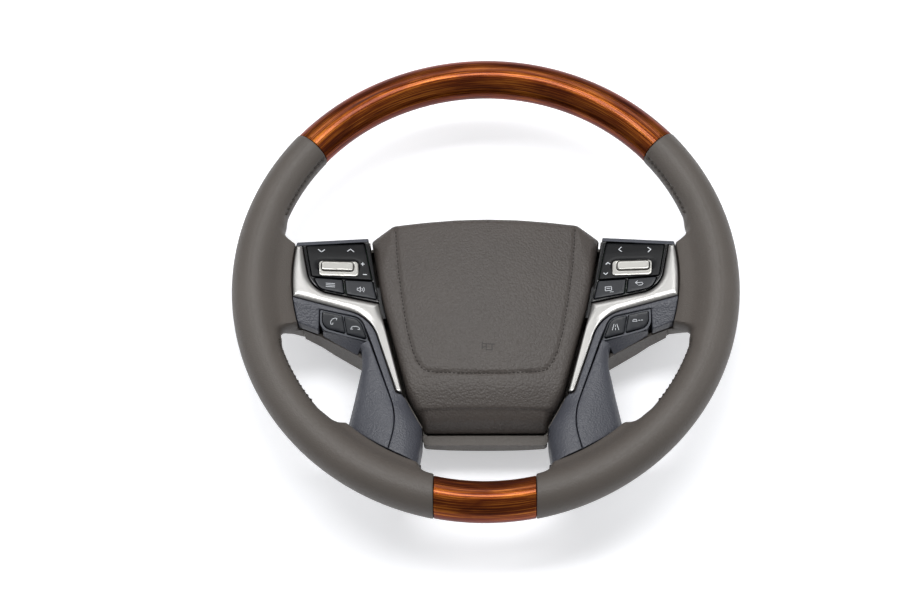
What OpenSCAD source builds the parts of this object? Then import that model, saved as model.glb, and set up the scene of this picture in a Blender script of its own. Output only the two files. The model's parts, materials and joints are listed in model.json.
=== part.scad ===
// Four-spoke car steering wheel with a wood and leather rim, a horn pad that moves on springs
// and two pods of thumb switches. Millimetres. The column axis is Z and points to the driver,
// Y points to the top of the wheel, and the origin is the rear mouth of the column bore.

/* [Rim] */
// Outside diameter of the rim
rim_od = 385; // [370:1:400]
// Height of the rim's centre plane above the rear mouth of the column bore
rim_z = 72; // [70:0.5:76]
// Thickness of the leather grip
grip_d = 31; // [29:0.1:33]
// Thickness of the wooden grip
wood_d = 30.2; // [28:0.1:32]
// Thickness of the cast ring inside the rim
core_d = 12; // [8:0.5:14]
// Half of the angle that the upper wooden grip covers
wood_top_half = 50; // [42:1:56]
// Half of the angle that the lower wooden grip covers
wood_bottom_half = 12; // [8:0.5:12.5]
// Gap between neighbouring grips, and round the cast ring
grip_gap = 0.2; // [0.1:0.05:0.4]

/* [Spoke faces] */
// How far below the rim's centre plane the cone of the spoke faces starts, on the axis
face_drop = 27.6; // [26.5:0.1:28.5]
// Rise of the spoke faces for each millimetre outwards
face_slope = 0.17; // [0.15:0.005:0.18]
// Radius at which the lower spoke covers end against the leather
cover_end_r = 152.4; // [150:0.2:154]
// Radius of the arc on which the switch pods end against the leather
pod_end_r = 146; // [145:0.2:147]
// Depth of the switch pods below the spoke face
pod_depth = 14; // [13.6:0.1:14.4]
// Radius of the crown of the lower spoke covers
crown_r = 60; // [52:1:80]
// Visible gap between neighbouring trim pieces
trim_gap = 0.5; // [0.3:0.05:0.6]
// Wall of the moulded covers
cover_wall = 2.2; // [1.8:0.1:2.6]

/* [Hub] */
// Diameter of the bore for the steering column
bore_d = 17; // [15:0.5:20]
// Length of the column bore
bore_len = 24; // [20:0.5:24]
// Outside diameter of the hub boss
boss_d = 42; // [34:1:48]
// Height of the underside of the hub plate
plate_z = 16; // [15:0.5:16]
// Thickness of the hub plate
plate_t = 5; // [4:0.5:6]
// Width of the side spokes of the casting
side_arm_w = 26; // [20:1:30]
// Width of the lower spokes of the casting
low_arm_w = 18; // [14:1:22]
// Radius of the round opening in the back of the rear cover
back_r = 46; // [42:1:48]
// Wall of the rear cover
rear_wall = 2.5; // [2:0.1:3]

/* [Horn pad] */
// Height of the middle of the pad above the rear mouth of the bore
pad_top_z = 64; // [62:0.5:66]
// Radius of the pad's domed face
dome_r = 600; // [450:10:900]
// Rounding of the pad's front edge
pad_edge_r = 6; // [3:0.5:8]
// Height of the lower edge of the pad's skirt
skirt_z = 36; // [35.5:0.1:36.5]
// Wall of the pad
pad_wall = 3; // [2.5:0.1:3.5]
// Travel of the pad when the horn is pressed
horn_travel = 2; // [1:0.1:2.4]
// Distance of the horn springs from the axis
spring_r = 58; // [56:0.5:59]
// Wire thickness of the horn springs
spring_wire = 1.4; // [1:0.1:1.6]
// Mean diameter of the horn springs
spring_d = 10; // [9:0.1:11]
// Thickness of the guide pins inside the springs
guide_d = 6; // [5:0.1:7]

/* [Switches] */
// Travel of a push button
button_travel = 0.8; // [0.4:0.1:1]
// Thickness of a button cap
button_t = 4.4; // [4:0.1:5]
// Thickness of the caps of the two lower buttons
low_button_t = 8.4; // [8:0.1:9]
// Gap round each button
button_gap = 0.6; // [0.5:0.05:0.8]
// Thickness of the four-way pads
rocker_t = 4.6; // [4.2:0.1:5]
// How far the upper strip of each four-way pad is folded back, in degrees
strip_fold = 12; // [8:0.5:13]
// Slope of the lower switch faces, as their fall for each millimetre
low_fall = 0.28; // [0.2:0.01:0.3]
// Diameter of the pivots that carry the four-way pads
pivot_d = 2.2; // [1.8:0.1:2.4]
// Running clearance of those pivots, on the diameter
pivot_play = 0.16; // [0.1:0.02:0.3]
// Thickness of the circuit boards
board_t = 1.6; // [1:0.1:2]
// Thickness of the screws' threads
screw_d = 4; // [3:0.5:4]

/* [Hidden] */
$fn = 48;

ring_r = (rim_od - grip_d) / 2;
leather_from = 90 - wood_top_half;
leather_to = -90 + wood_bottom_half;
tall = 120;

// Height of the cone of the spoke faces at radius r, or of the pods' plane at x
function face_z(r) = rim_z - face_drop + face_slope * r;
face_tilt = atan(face_slope);

// Corner rounding: a corner is [x, y, radius], and an outline is a list of corners
function unit(v) = v / norm(v);
function heading(v) = atan2(v[1], v[0]);
function xy(p) = [p[0], p[1]];
function round_corner(a, p, b, r) =
    let (u = unit(a - p), v = unit(b - p), half = acos(u * v) / 2,
         c = p + unit(u + v) * r / sin(half),
         from = heading(p + u * r / tan(half) - c), to = heading(p + v * r / tan(half) - c),
         turn = ((to - from + 540) % 360) - 180, steps = max(2, ceil(abs(turn) / 9)))
    [for (i = [0:steps]) c + r * [cos(from + turn * i / steps), sin(from + turn * i / steps)]];
function outline(corners) =
    let (n = len(corners))
    [for (i = [0:n - 1]) each (corners[i][2] <= 0 ? [xy(corners[i])]
        : round_corner(xy(corners[(i + n - 1) % n]), xy(corners[i]),
                       xy(corners[(i + 1) % n]), corners[i][2]))];
function smooth(t) = let (c = min(1, max(0, t))) c * c * (3 - 2 * c);

// Outlines of the right-hand trim, seen from the driver
bezel_corners = [[150, 31.5, 0], [150, -11, 0], [86.9, -24.6, 28],
    [65.8, -87.9, 3], [61.9, -87.4, 1], [81.3, -12.9, 1], [133.1, -5, 20], [140.8, 31.5, 0.8]];
housing_corners = [[90.9, 42.6, 1], [150, 34.2, 0], [150, 32, 0], [140.4, 32, 0.4],
    [132.7, -4.6, 20], [81, -12.4, 0.6]];
rocker_corners = [[93.9, 37.6, 1.2], [137.6, 31.8, 1.5], [132.4, 5.8, 1.5], [87.1, 5.8, 0.8]];
outer_top_button = [[130.9, 4.6, 1], [109.5, 4.4, 0.6], [107.9, -6.8, 0.6], [126.2, -4, 8]];
inner_top_button = [[107.3, 4.4, 0.6], [86.8, 4.6, 0.6], [83.1, -9.9, 0.8], [105.7, -7.1, 0.6]];
lower_housing_corners = [[125.2, -21.6, 0.8], [125.4, -36, 8], [105.6, -40.4, 1],
    [88.4, -43.6, 1], [94.6, -26.9, 10]];
outer_low_button = [[123.4, -23.2, 0.8], [108.7, -25.7, 0.6], [106.3, -38.4, 0.8],
    [123.4, -34.4, 7]];
inner_low_button = [[107.1, -26, 0.6], [95.6, -28, 8.4], [90, -41.9, 1], [104.7, -38.8, 0.8]];
inner_cover_corners = [[150, -11.8, 0], [150, -29.1, 0], [126.4, -36.9, 1],
    [125.9, -21.1, 0.6], [94.3, -26.2, 10.5], [87.2, -43, 1], [64.4, -109, 55], [75.5, -154, 0],
    [50, -154, 0], [47.3, -124, 8], [47.3, -113, 2], [59.6, -91.6, 20], [62.4, -89, 0.5],
    [66.6, -89, 3.2], [87.5, -25.3, 28.5]];
outer_cover_corners = [[88, -44.9, 1], [94.6, -48.5, 3], [92, -64, 30], [105.5, -128, 0],
    [76.1, -154, 0], [64.95, -109, 55]];
rear_half_corners = [[60, 53.6, 8], [92, 44.2, 4], [150, 34.8, 0], [150, -29.2, 0],
    [126, -37.5, 3], [97, -52.3, 3], [92, -55.4, 2], [76.8, -55.4, 2], [65.3, -88.1, 1],
    [61.6, -88.3, 1], [58.9, -91.2, 6], [46.5, -112.6, 2], [46.5, -120.5, 3]];
rear_side_corners = concat(rear_half_corners,
    [for (i = [len(rear_half_corners) - 1:-1:0]) let (c = rear_half_corners[i]) [-c[0], c[1], c[2]]]);
rear_limb_corners = [[84.5, -50, 0], [87.4, -64, 20], [100.5, -128, 0], [76, -154, 0],
    [54.5, -154, 0], [52, -124, 6], [52, -112, 2], [72.8, -84, 4]];
// Outline of the whole lower spoke, whose walls the two covers share
limb_corners = [[95.5, -40, 0], [92, -64, 30], [105.5, -128, 0], [90, -165, 0], [51, -165, 0],
    [47.3, -124, 8], [47.3, -113, 2], [59.6, -91.6, 20], [62.4, -89, 0.5], [66.6, -89, 3.2],
    [82.7, -40, 0]];
limb_top_y = -56;
pad_corners = [[72, 56.5, 12], [89, 45.5, 2.5], [79.8, -6, 250], [58.8, -85.5, 40],
    [45.4, -111, 4], [-45.4, -111, 4], [-58.8, -85.5, 40], [-79.8, -6, 250],
    [-89, 45.5, 2.5], [-72, 56.5, 12], [0, 62.3, 600]];

// Where the four-way pad pivots, and the middle of its push button
pivot_at = [112, 23];
pivot_drop = 7.2;
post_at = 12.4;
lug_at = 14.6;
deck_drop = 5.6;
fold_at = [112, 25.7];
// The lower switch faces fall away from this line, and the housing's upper edge from the next
low_crease = [94.6, -26.9];
low_crease_angle = 9.8;
bar_at = [90.9, 38.2];
bar_angle = -8.1;
pod_centre = [1.5, 8];
ring_at = [112.3, 13.5];
button_at = [113.2, 15.2];
guide_angles = [35, 145, 270];
screw_angles = [20, 160, 212, 328];
screw_circle = 62;

// Profile of the rear cover's bowl, as [radius, height] of its outside
bowl = [[52, 0], [72, 7], [98, 15], [124, 25], [150, 41]];

// Solid between two heights above the cone of the spoke faces
module face_slab(top, bottom) {
    rotate_extrude()
        polygon([[0, face_z(0) + bottom], [200, face_z(200) + bottom],
                 [200, face_z(200) + top], [0, face_z(0) + top]]);
}

// The same against the flat plane of the switch pods
module pod_slab(top, bottom) {
    rotate([90, 0, 0]) linear_extrude(height = 140, center = true)
        polygon([[60, face_z(60) + bottom], [160, face_z(160) + bottom],
                 [160, face_z(160) + top], [60, face_z(60) + top]]);
}

// Everything on the hub's side of the arc on which the pods end
module pod_area(gap = 0) translate(pod_centre) circle(r = pod_end_r + gap);
module pod_column(corners) linear_extrude(height = tall) intersection() {
    polygon(outline(corners));
    pod_area();
}
module column(corners) { linear_extrude(height = tall) polygon(outline(corners)); }

// Local frame of a switch pod: its X runs outwards along the pod's plane
module pod_frame(at) {
    translate([at[0], at[1], face_z(at[0])]) rotate([0, -face_tilt, 0]) children();
}

module mirrored() { mirror([1, 0, 0]) children(); }

// Rounded tube of the cast ring and of the grips, from one angle to another
module rim_tube(d, from, to) {
    translate([0, 0, rim_z]) rotate([0, 0, from]) rotate_extrude(angle = to - from)
        translate([ring_r, 0]) circle(d = d);
}
module rim_ring(d) { translate([0, 0, rim_z]) rotate_extrude() translate([ring_r, 0]) circle(d = d); }

// One spoke of the casting, as its side view from the axis outwards
module arm(angle, w, low, high) {
    rotate([0, 0, angle]) rotate([90, 0, 0]) linear_extrude(height = w, center = true)
        polygon(concat(low, [for (i = [len(high) - 1:-1:0]) high[i]]));
}
side_arm_low = [[24, plate_z], [88, 23], [147, face_z(147) - 24], [ring_r - 5, rim_z - 5.5]];
side_arm_high = [[24, plate_z + plate_t], [86, 30.5], [147, face_z(147) - 17], [ring_r - 5, rim_z + 3]];
low_arm_low = [[24, plate_z], [84, plate_z + 2], [114, 24], [154, 50], [ring_r - 5, rim_z - 5.5]];
low_arm_high = [[24, plate_z + plate_t], [84, plate_z + 9], [114, 31.5], [150, 59], [ring_r - 5, rim_z + 3]];
low_arm_angle = -60;

module at_circle(r, angles) { for (a = angles) rotate([0, 0, a]) translate([r, 0, 0]) children(); }

module armature() color("silver") {
    difference() {
        union() {
            cylinder(d = boss_d, h = bore_len);
            translate([0, 0, plate_z]) linear_extrude(height = plate_t) {
                circle(r = 50);
                for (a = guide_angles) hull() { circle(r = 20); rotate(a) translate([spring_r, 0]) circle(r = 9); }
                for (a = screw_angles) hull() { circle(r = 20); rotate(a) translate([screw_circle, 0]) circle(r = 7); }
            }
            for (a = [0, 180]) arm(a, side_arm_w, side_arm_low, side_arm_high);
            for (a = [low_arm_angle, 180 - low_arm_angle]) arm(a, low_arm_w, low_arm_low, low_arm_high);
        }
        translate([0, 0, -1]) cylinder(d = bore_d, h = bore_len + 2);
        at_circle(spring_r, guide_angles) cylinder(d = guide_d + 0.8, h = tall);
        at_circle(screw_circle, screw_angles) cylinder(d = screw_d + 0.2, h = tall);
        rim_ring(core_d);
    }
}
module rim_core() color("gray") rim_ring(core_d);

module wood_grip_top() color("saddlebrown") difference() {
    rim_tube(wood_d, leather_from, 180 - leather_from);
    rim_ring(core_d + 2 * grip_gap);
}
module wood_grip_bottom() color("saddlebrown") difference() {
    rim_tube(wood_d, -90 - wood_bottom_half, -90 + wood_bottom_half);
    rim_ring(core_d + 2 * grip_gap);
}

// The leather widens inwards where a spoke meets it. Each section is the round grip joined softly
// with a tongue, whose end moves inwards over a few degrees at each side of the spoke.
function fillet(t, p) = pow(min(1, max(0, t)), p);
function side_end(a) = 3 + 12.5 * smooth((24 - a) / 8) * smooth((a + 24) / 7)
    + 30 * fillet((16.5 - a) / 5, 3.2) * fillet((a + 17) / 4.5, 3.2);
function low_end(a) = 3 + 12.5 * smooth((-37 - a) / 7) * smooth((a + 84) / 7)
    + 22 * fillet((-43 - a) / 7, 2.3) * fillet((a + 77.5) / 8, 2.3);
function soft_min(a, b, k) = let (h = max(k - abs(a - b), 0) / k) min(a, b) - h * h * k / 4;
function soft_max(a, b, k) = -soft_min(-a, -b, k);
// Below 0 inside the leather: u runs inwards from the middle of the rim, w towards the driver
function leather_gap(a, u, w) =
    let (side = a > -31, end = side ? side_end(a) : low_end(a),
         top = (side ? 14.4 - 0.55 * u : 14.6 - 0.675 * u) - 3 * smooth(1 - u / 9),
         bottom = -11.5 - (side ? 0.75 : 0.77) * u,
         tongue = soft_max(soft_max(w - top, bottom - w, 2) * 0.85, soft_max(u - end, -u, 2), 8))
    soft_min(norm([u, w]) - grip_d / 2, tongue, 6);
function leather_reach(a, c, s, near, far, n) = n == 0 ? (near + far) / 2
    : let (mid = (near + far) / 2)
      leather_gap(a, -mid * c, mid * s) < 0 ? leather_reach(a, c, s, mid, far, n - 1)
                                            : leather_reach(a, c, s, near, mid, n - 1);
function grip_point(a, phi) =
    let (c = cos(phi), s = sin(phi), d = c > 0 ? grip_d / 2 : leather_reach(a, c, s, 12, 76, 14),
         rad = ring_r + d * c)
    [rad * cos(a), rad * sin(a), rim_z + d * s];
gap_angle = grip_gap / ring_r * 180 / PI;
grip_stations = concat([leather_from - gap_angle], [for (a = [36:-4:20]) a],
    [for (a = [17:-1:11]) a], [for (a = [8:-5:-7]) a], [for (a = [-11:-1:-17]) a],
    [for (a = [-21:-4:-41]) a], [for (a = [-44:-1:-51]) a], [for (a = [-54:-5:-69]) a],
    [for (a = [-70:-1:-77]) a], [leather_to + gap_angle]);
grip_sides = 28;
module loft(rings) {
    m = len(rings[0]);
    n = len(rings);
    polyhedron(points = [for (ring = rings) each ring],
        faces = concat([[for (j = [m - 1:-1:0]) j]], [[for (j = [0:m - 1]) (n - 1) * m + j]],
            [for (i = [0:n - 2], j = [0:m - 1]) each [
                [i * m + j, i * m + (j + 1) % m, (i + 1) * m + j],
                [(i + 1) * m + j, i * m + (j + 1) % m, (i + 1) * m + (j + 1) % m]]]),
        convexity = 6);
}
module leather_grip() color("dimgray") difference() {
    loft([for (a = grip_stations) [for (j = [0:grip_sides - 1]) grip_point(a, 360 * j / grip_sides)]]);
    rim_ring(core_d + 2 * grip_gap);
    linear_extrude(height = tall) {
        intersection() {
            pod_area(trim_gap);
            translate([100, -46]) square([60, 92]);
        }
        intersection() {
            circle(r = cover_end_r + trim_gap);
            translate([30, -160]) square([120, 70]);
        }
    }
    arm(0, side_arm_w + 2 * grip_gap, [for (p = side_arm_low) p - [0, grip_gap]], [for (p = side_arm_high) p + [0, grip_gap]]);
    arm(low_arm_angle, low_arm_w + 2 * grip_gap, [for (p = low_arm_low) p - [0, grip_gap]], [for (p = low_arm_high) p + [0, grip_gap]]);
}
module leather_grip_right() leather_grip();
module leather_grip_left() mirrored() leather_grip();

// The bowl's outside or inside as a solid of revolution that reaches up past the trim
module bowl_solid(lift) {
    rotate_extrude() polygon(concat([[0, bowl[0][1] + lift]], [for (p = bowl) [p[0], p[1] + lift]],
        [[200, 75 + lift], [200, tall], [0, tall]]));
}
module rear_area(grow) intersection() {
    pod_area(grow);
    mirror([1, 0]) pod_area(grow);
}
module rear_shell() difference() {
    intersection() {
        linear_extrude(height = tall) intersection() { polygon(outline(rear_side_corners)); rear_area(0); }
        bowl_solid(0);
        face_slab(-pod_depth - 2.2, -100);
    }
    intersection() {
        linear_extrude(height = tall) intersection() {
            offset(delta = -rear_wall) polygon(outline(rear_side_corners));
            rear_area(-rear_wall);
        }
        bowl_solid(rear_wall);
    }
}
// The backs of the lower spokes are closed by tongues of the same moulding
module rear_tongue() intersection() {
    difference() { bowl_solid(0); bowl_solid(rear_wall); }
    linear_extrude(height = tall) intersection() {
        polygon(outline(rear_limb_corners));
        circle(r = cover_end_r - 0.5);
    }
}
module arm_passage(angle, w, low, high, room) arm(angle, w + 1.6, [for (p = low) p - [0, 0.4]], [for (p = high) p + [0, room]]);
module rear_cover() color("rosybrown") difference() {
    union() {
        rear_shell();
        rear_tongue();
        mirrored() rear_tongue();
    }
    translate([0, 0, -1]) cylinder(r = back_r, h = tall);
    translate([0, 0, skirt_z - horn_travel - 1.2]) linear_extrude(height = tall)
        offset(delta = 1.4) polygon(outline(pad_corners));
    translate([-47, -130, skirt_z]) cube([94, 30, tall]);
    at_circle(screw_circle, screw_angles) cylinder(d = screw_d + 0.4, h = tall);
    at_circle(screw_circle, screw_angles) translate([0, 0, -1]) cylinder(d = 8, h = 5);
    for (a = [0, 180]) arm_passage(a, side_arm_w, side_arm_low, side_arm_high, 12);
    for (a = [low_arm_angle, 180 - low_arm_angle]) arm_passage(a, low_arm_w, low_arm_low, low_arm_high, 12);
}

module rear_cover_screws() color("dimgray") at_circle(screw_circle, screw_angles) {
    translate([0, 0, 1.6]) cylinder(d = 7.4, h = 2.4);
    translate([0, 0, 3.9]) cylinder(d = screw_d, h = plate_z + plate_t - 3.4);
}

// The pad: a skirt, a rounded edge and a domed face
pad_centre = [0, -18];
function dome_z(p) = pad_top_z - (p[0] * p[0] + (p[1] - pad_centre[1]) * (p[1] - pad_centre[1])) / (2 * dome_r)
    - 5 * smooth((-p[1] - 78) / 34);
function inset(pts, d) = let (n = len(pts)) [for (i = [0:n - 1])
    let (a = pts[(i + n - 1) % n], p = pts[i], b = pts[(i + 1) % n],
         u = unit(p - a), v = unit(b - p), m = unit([u[1], -u[0]] + [v[1], -v[0]]))
    p + m * d / max(0.5, m * [u[1], -u[0]])];
function shrink(pts, k) = [for (p = pts) pad_centre + (p - pad_centre) * k];
// The lower wall leans back towards the driver
function lean(p, z) = [p[0], p[1] + (z - skirt_z) * 0.42 * smooth((-p[1] - 96) / 12), z];
pad_outline = outline(pad_corners);
module airbag_cover() color("dimgray") difference() {
    loft(concat([[for (p = pad_outline) [p[0], p[1], skirt_z]]],
        [for (t = [0:22.5:90]) let (q = inset(pad_outline, pad_edge_r * (1 - cos(t))))
            [for (p = q) lean(p, dome_z(p) - pad_edge_r * (1 - sin(t)))]],
        [for (k = [0.82, 0.6, 0.35, 0.1]) [for (p = shrink(inset(pad_outline, pad_edge_r), k))
            let (z = dome_z(p)) lean(p, z)]]));
    difference() {
        translate([0, 0, skirt_z - 1]) linear_extrude(height = 16)
            intersection() { offset(delta = -pad_wall) polygon(pad_outline); translate([-100, -97]) square([200, 200]); }
    }
    translate([0, 0, skirt_z - 1]) linear_extrude(height = 6) offset(delta = -pad_wall) polygon(pad_outline);
}
module tray_outline(d) offset(delta = -pad_wall - d) polygon(pad_outline);
module airbag_tray() color("gray") difference() {
    union() {
        translate([0, 0, skirt_z + 0.6]) linear_extrude(height = 2) tray_outline(0.4);
        translate([0, 0, skirt_z + 2.6]) linear_extrude(height = 8) difference() {
            intersection() { tray_outline(8); translate([-100, -90]) square([200, 200]); }
            intersection() { tray_outline(9.5); translate([-100, -88.5]) square([200, 200]); }
        }
    }
    cylinder(d = 64.6, h = tall);
    at_circle(spring_r, guide_angles) cylinder(d = guide_d + 0.2, h = tall);
}
module airbag_cushion() color("whitesmoke") difference() {
    translate([0, 0, skirt_z + 2.8]) linear_extrude(height = 11.6)
        intersection() { tray_outline(10.2); translate([-100, -87.5]) square([200, 200]); }
    cylinder(d = 65, h = skirt_z + 9.6);
}
module inflator() color("silver") {
    translate([0, 0, skirt_z - 9]) cylinder(d = 64, h = 18);
    translate([0, 0, skirt_z - 1.2]) cylinder(d = 82, h = 1.6);
}
module guide_pins() color("gold") at_circle(spring_r, guide_angles) {
    translate([0, 0, plate_z - 3.3]) cylinder(d = guide_d + 4, h = 3);
    translate([0, 0, plate_z - 1]) cylinder(d = guide_d, h = skirt_z + 3.6 - plate_z);
}

spring_low = plate_z + plate_t + 0.1;
spring_high = skirt_z + 0.5;
spring_turns = 4;
function coil_point(t, phi) =
    let (a = 360 * spring_turns * t, z = spring_low + spring_wire / 2 + (spring_high - spring_low - spring_wire) * t,
         r = spring_d / 2 + spring_wire / 2 * cos(phi))
    [r * cos(a), r * sin(a), z + spring_wire / 2 * sin(phi)];
module horn_springs() color("lightgray") at_circle(spring_r, guide_angles)
    loft([for (i = [0:12 * spring_turns]) [for (j = [0:5]) coil_point(i / 12 / spring_turns, -60 * j)]]);

module horn_contact() color("goldenrod") {
    translate([-7, 36, plate_z + plate_t]) cube([14, 8, 1]);
    translate([0, 40, plate_z + plate_t + 0.5]) cylinder(d = 5, h = skirt_z - 1.2 - plate_z - plate_t - 0.5 - horn_travel - 0.4);
}

module bezel() color("silver") intersection() {
    pod_column(bezel_corners);
    face_slab(0.4, -5);
}

// Everything of the lower spoke above its crown
module above_crown(drop) {
    difference() {
        below_side(0);
        translate([72, -110, face_z(131.5) - drop]) rotate([0, 0, 83]) rotate([0, 5, 0])
            translate([-120, 0, -crown_r]) rotate([0, 90, 0]) cylinder(r = crown_r, h = 240);
    }
}
module limb_space() intersection() {
    linear_extrude(height = tall) offset(delta = -cover_wall) polygon(outline(limb_corners));
    face_slab(-cover_wall, -100);
}
module below_side(grow) translate([30, -170, -grow]) cube([90, 170 + limb_top_y, tall]);
module cover(corners) difference() {
    intersection() {
        linear_extrude(height = tall) intersection() {
            polygon(outline(corners));
            circle(r = cover_end_r);
        }
        face_slab(0, -100);
        bowl_solid(0.2);
        below_side(1);
    }
    above_crown(0);
    difference() { limb_space(); above_crown(cover_wall); }
    arm_passage(low_arm_angle, low_arm_w, low_arm_low, low_arm_high, 1.2);
}
// What lies above the falling lower switch faces
module above_low_face(drop) translate([low_crease[0], low_crease[1], face_z(norm(low_crease)) - drop])
    rotate([0, 0, low_crease_angle]) rotate([0, -9, 0]) rotate([atan(low_fall - 0.059), 0, 0])
        translate([-20, -40, 0]) cube([90, 40, 30]);
module side_band(corners) intersection() {
    pod_column(corners);
    face_slab(0, -pod_depth);
    translate([60, limb_top_y, 0]) cube([100, 60, tall]);
}
module inner_cover() color("slategray") {
    cover(inner_cover_corners);
    difference() {
        side_band(inner_cover_corners);
        intersection() { above_low_face(0); translate([125.6, -60, 0]) cube([40, 60, tall]); }
    }
}
module outer_cover() color("slategray") {
    cover(outer_cover_corners);
    side_band(outer_cover_corners);
}

module switch_housing() color("black") {
    difference() {
        intersection() { pod_column(housing_corners); pod_slab(-0.4, -pod_depth); }
        linear_extrude(height = tall) {
            offset(delta = button_gap) polygon(outline(rocker_corners));
            offset(delta = button_gap + 0.1) polygon(outline(outer_top_button));
            offset(delta = button_gap + 0.1) polygon(outline(inner_top_button));
        }
        housing_space(2);
        translate([bar_at[0], bar_at[1], face_z(bar_at[0]) - 0.4]) rotate([0, 0, bar_angle])
            rotate([0, -face_tilt, 0]) rotate([-25, 0, 0]) translate([-10, 0, 0]) cube([90, 20, 20]);
    }
    intersection() { pod_column(housing_corners); pod_slab(-pod_depth + 1.6, -pod_depth); }
    pod_frame(pivot_at) for (s = [-1, 1]) difference() {
        translate([-2.5, s * post_at - 0.9, -pod_depth + 1.5]) cube([5, 1.8, pod_depth - 6.5]);
        translate([0, s * post_at, -pivot_drop]) rotate([90, 0, 0]) cylinder(d = pivot_d + pivot_play, h = 6, center = true);
    }
}
// Room under the deck of the switch housing, inside its walls
module housing_space(wall) intersection() {
    linear_extrude(height = tall) intersection() {
        offset(delta = -wall) polygon(outline(housing_corners));
        pod_area(-wall);
    }
    pod_slab(-deck_drop, -pod_depth - 1);
}
module switch_board() color("darkgreen") difference() {
    intersection() {
        housing_space(2.4);
        pod_slab(-pod_depth + 1.8 + board_t, -pod_depth + 1.8);
    }
    pod_frame(pivot_at) for (s = [-1, 1]) translate([-3, s * post_at - 1.3, -20]) cube([6, 2.6, 20]);
}
module cradle() color("white") pod_frame(pivot_at) difference() {
    union() {
        translate([-13, -10.6, -pivot_drop - 1]) cube([26, 21.2, 2]);
        for (s = [-1, 1]) translate([0, s * 11.2, -pivot_drop]) rotate([90, 0, 0]) cylinder(d = pivot_d, h = 4.4, center = true);
        for (s = [-1, 1]) translate([s * 14, 0, -pivot_drop]) rotate([0, 90, 0]) cylinder(d = pivot_d, h = 4, center = true);
    }
    translate([-10.4, -8, -pivot_drop - 3]) cube([20.8, 16, 6]);
}

module button_outline(size, r) { offset(r = r) square([size[0] - 2 * r, size[1] - 2 * r], center = true); }
module ring_shape(grow) translate(ring_at) rotate(-3) offset(delta = grow) button_outline([30, 12.6], 3);
module button_shape(grow) translate(button_at) rotate(-3) offset(delta = grow) button_outline([24.4, 7.6], 2.4);
module four_way_pad() color("black") {
    difference() {
        intersection() { column(rocker_corners); pod_slab(0.4, 0.4 - rocker_t); }
        linear_extrude(height = tall) ring_shape(0.1);
        pod_frame(fold_at) rotate([-strip_fold, 0, 0]) translate([-40, 0, 0.4]) cube([80, 30, 20]);
    }
    pod_frame(pivot_at) for (s = [-1, 1]) difference() {
        translate([s * lug_at - 1, -2.5, -pivot_drop - 2]) cube([2, 5, pivot_drop + 2 - rocker_t + 0.6]);
        translate([s * lug_at, 0, -pivot_drop]) rotate([0, 90, 0]) cylinder(d = pivot_d + pivot_play, h = 4, center = true);
    }
}
module pad_ring() color("silver") difference() {
    intersection() {
        linear_extrude(height = tall) ring_shape(0);
        pod_slab(0.9, 0.4 - rocker_t);
    }
    intersection() { linear_extrude(height = tall) button_shape(0.35); pod_slab(20, -2.6); }
}
module centre_button() color("silver") intersection() {
    linear_extrude(height = tall) button_shape(0);
    pod_slab(2.2, -1.7);
}
module top_button(corners) color("dimgray") intersection() {
    column(corners);
    pod_slab(0, -button_t);
}
module low_button(corners) color("darkslategray") difference() {
    intersection() { column(corners); face_slab(-0.2, -low_button_t); }
    above_low_face(0.2);
}
module lower_housing() color("black") difference() {
    intersection() { column(lower_housing_corners); face_slab(-1.4, -pod_depth); }
    intersection() {
        linear_extrude(height = tall) offset(delta = button_gap) {
            polygon(outline(outer_low_button));
            polygon(outline(inner_low_button));
        }
        face_slab(5, -low_button_t - button_travel - 0.5);
    }
    above_low_face(1.4);
}

module right_bezel() bezel();
module right_inner_cover() inner_cover();
module right_outer_cover() outer_cover();
module right_switch_housing() switch_housing();
module right_switch_board() switch_board();
module right_cradle() cradle();
module right_four_way_pad() four_way_pad();
module right_pad_ring() pad_ring();
module right_centre_button() centre_button();
module right_display_button() top_button(inner_top_button);
module right_return_button() top_button(outer_top_button);
module right_lower_housing() lower_housing();
module right_lane_button() low_button(inner_low_button);
module right_distance_button() low_button(outer_low_button);
module left_bezel() mirrored() bezel();
module left_inner_cover() mirrored() inner_cover();
module left_outer_cover() mirrored() outer_cover();
module left_switch_housing() mirrored() switch_housing();
module left_switch_board() mirrored() switch_board();
module left_cradle() mirrored() cradle();
module left_four_way_pad() mirrored() four_way_pad();
module left_pad_ring() mirrored() pad_ring();
module left_centre_button() mirrored() centre_button();
module left_voice_button() mirrored() top_button(inner_top_button);
module left_source_button() mirrored() top_button(outer_top_button);
module left_lower_housing() mirrored() lower_housing();
module left_hang_up_button() mirrored() low_button(inner_low_button);
module left_call_button() mirrored() low_button(outer_low_button);

armature();
rim_core();
wood_grip_top();
wood_grip_bottom();
leather_grip_right();
leather_grip_left();
rear_cover();
rear_cover_screws();
airbag_cover();
airbag_tray();
airbag_cushion();
inflator();
guide_pins();
horn_springs();
horn_contact();
right_bezel();
right_inner_cover();
right_outer_cover();
right_switch_housing();
right_switch_board();
right_cradle();
right_four_way_pad();
right_pad_ring();
right_centre_button();
right_display_button();
right_return_button();
right_lower_housing();
right_lane_button();
right_distance_button();
left_bezel();
left_inner_cover();
left_outer_cover();
left_switch_housing();
left_switch_board();
left_cradle();
left_four_way_pad();
left_pad_ring();
left_centre_button();
left_voice_button();
left_source_button();
left_lower_housing();
left_hang_up_button();
left_call_button();
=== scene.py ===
# %% [markdown]
# A car steering wheel, dressed for its picture. The solid model already has every part in its
# true place, so this lesson only gives each part its finish: leather over foam, lacquered wood,
# satin trim, soft moulded covers and switches. Everything is in metres in the frame of the solid
# model, but the outlines are typed in millimetres, because that is how such parts are drawn.

# %% Load the solid model
import json
from math import acos, atan2, ceil, cos, degrees, hypot, pi, radians, sin, sqrt, tan

import bpy
import numpy as np
from mathutils import Matrix, Vector, geometry


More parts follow.
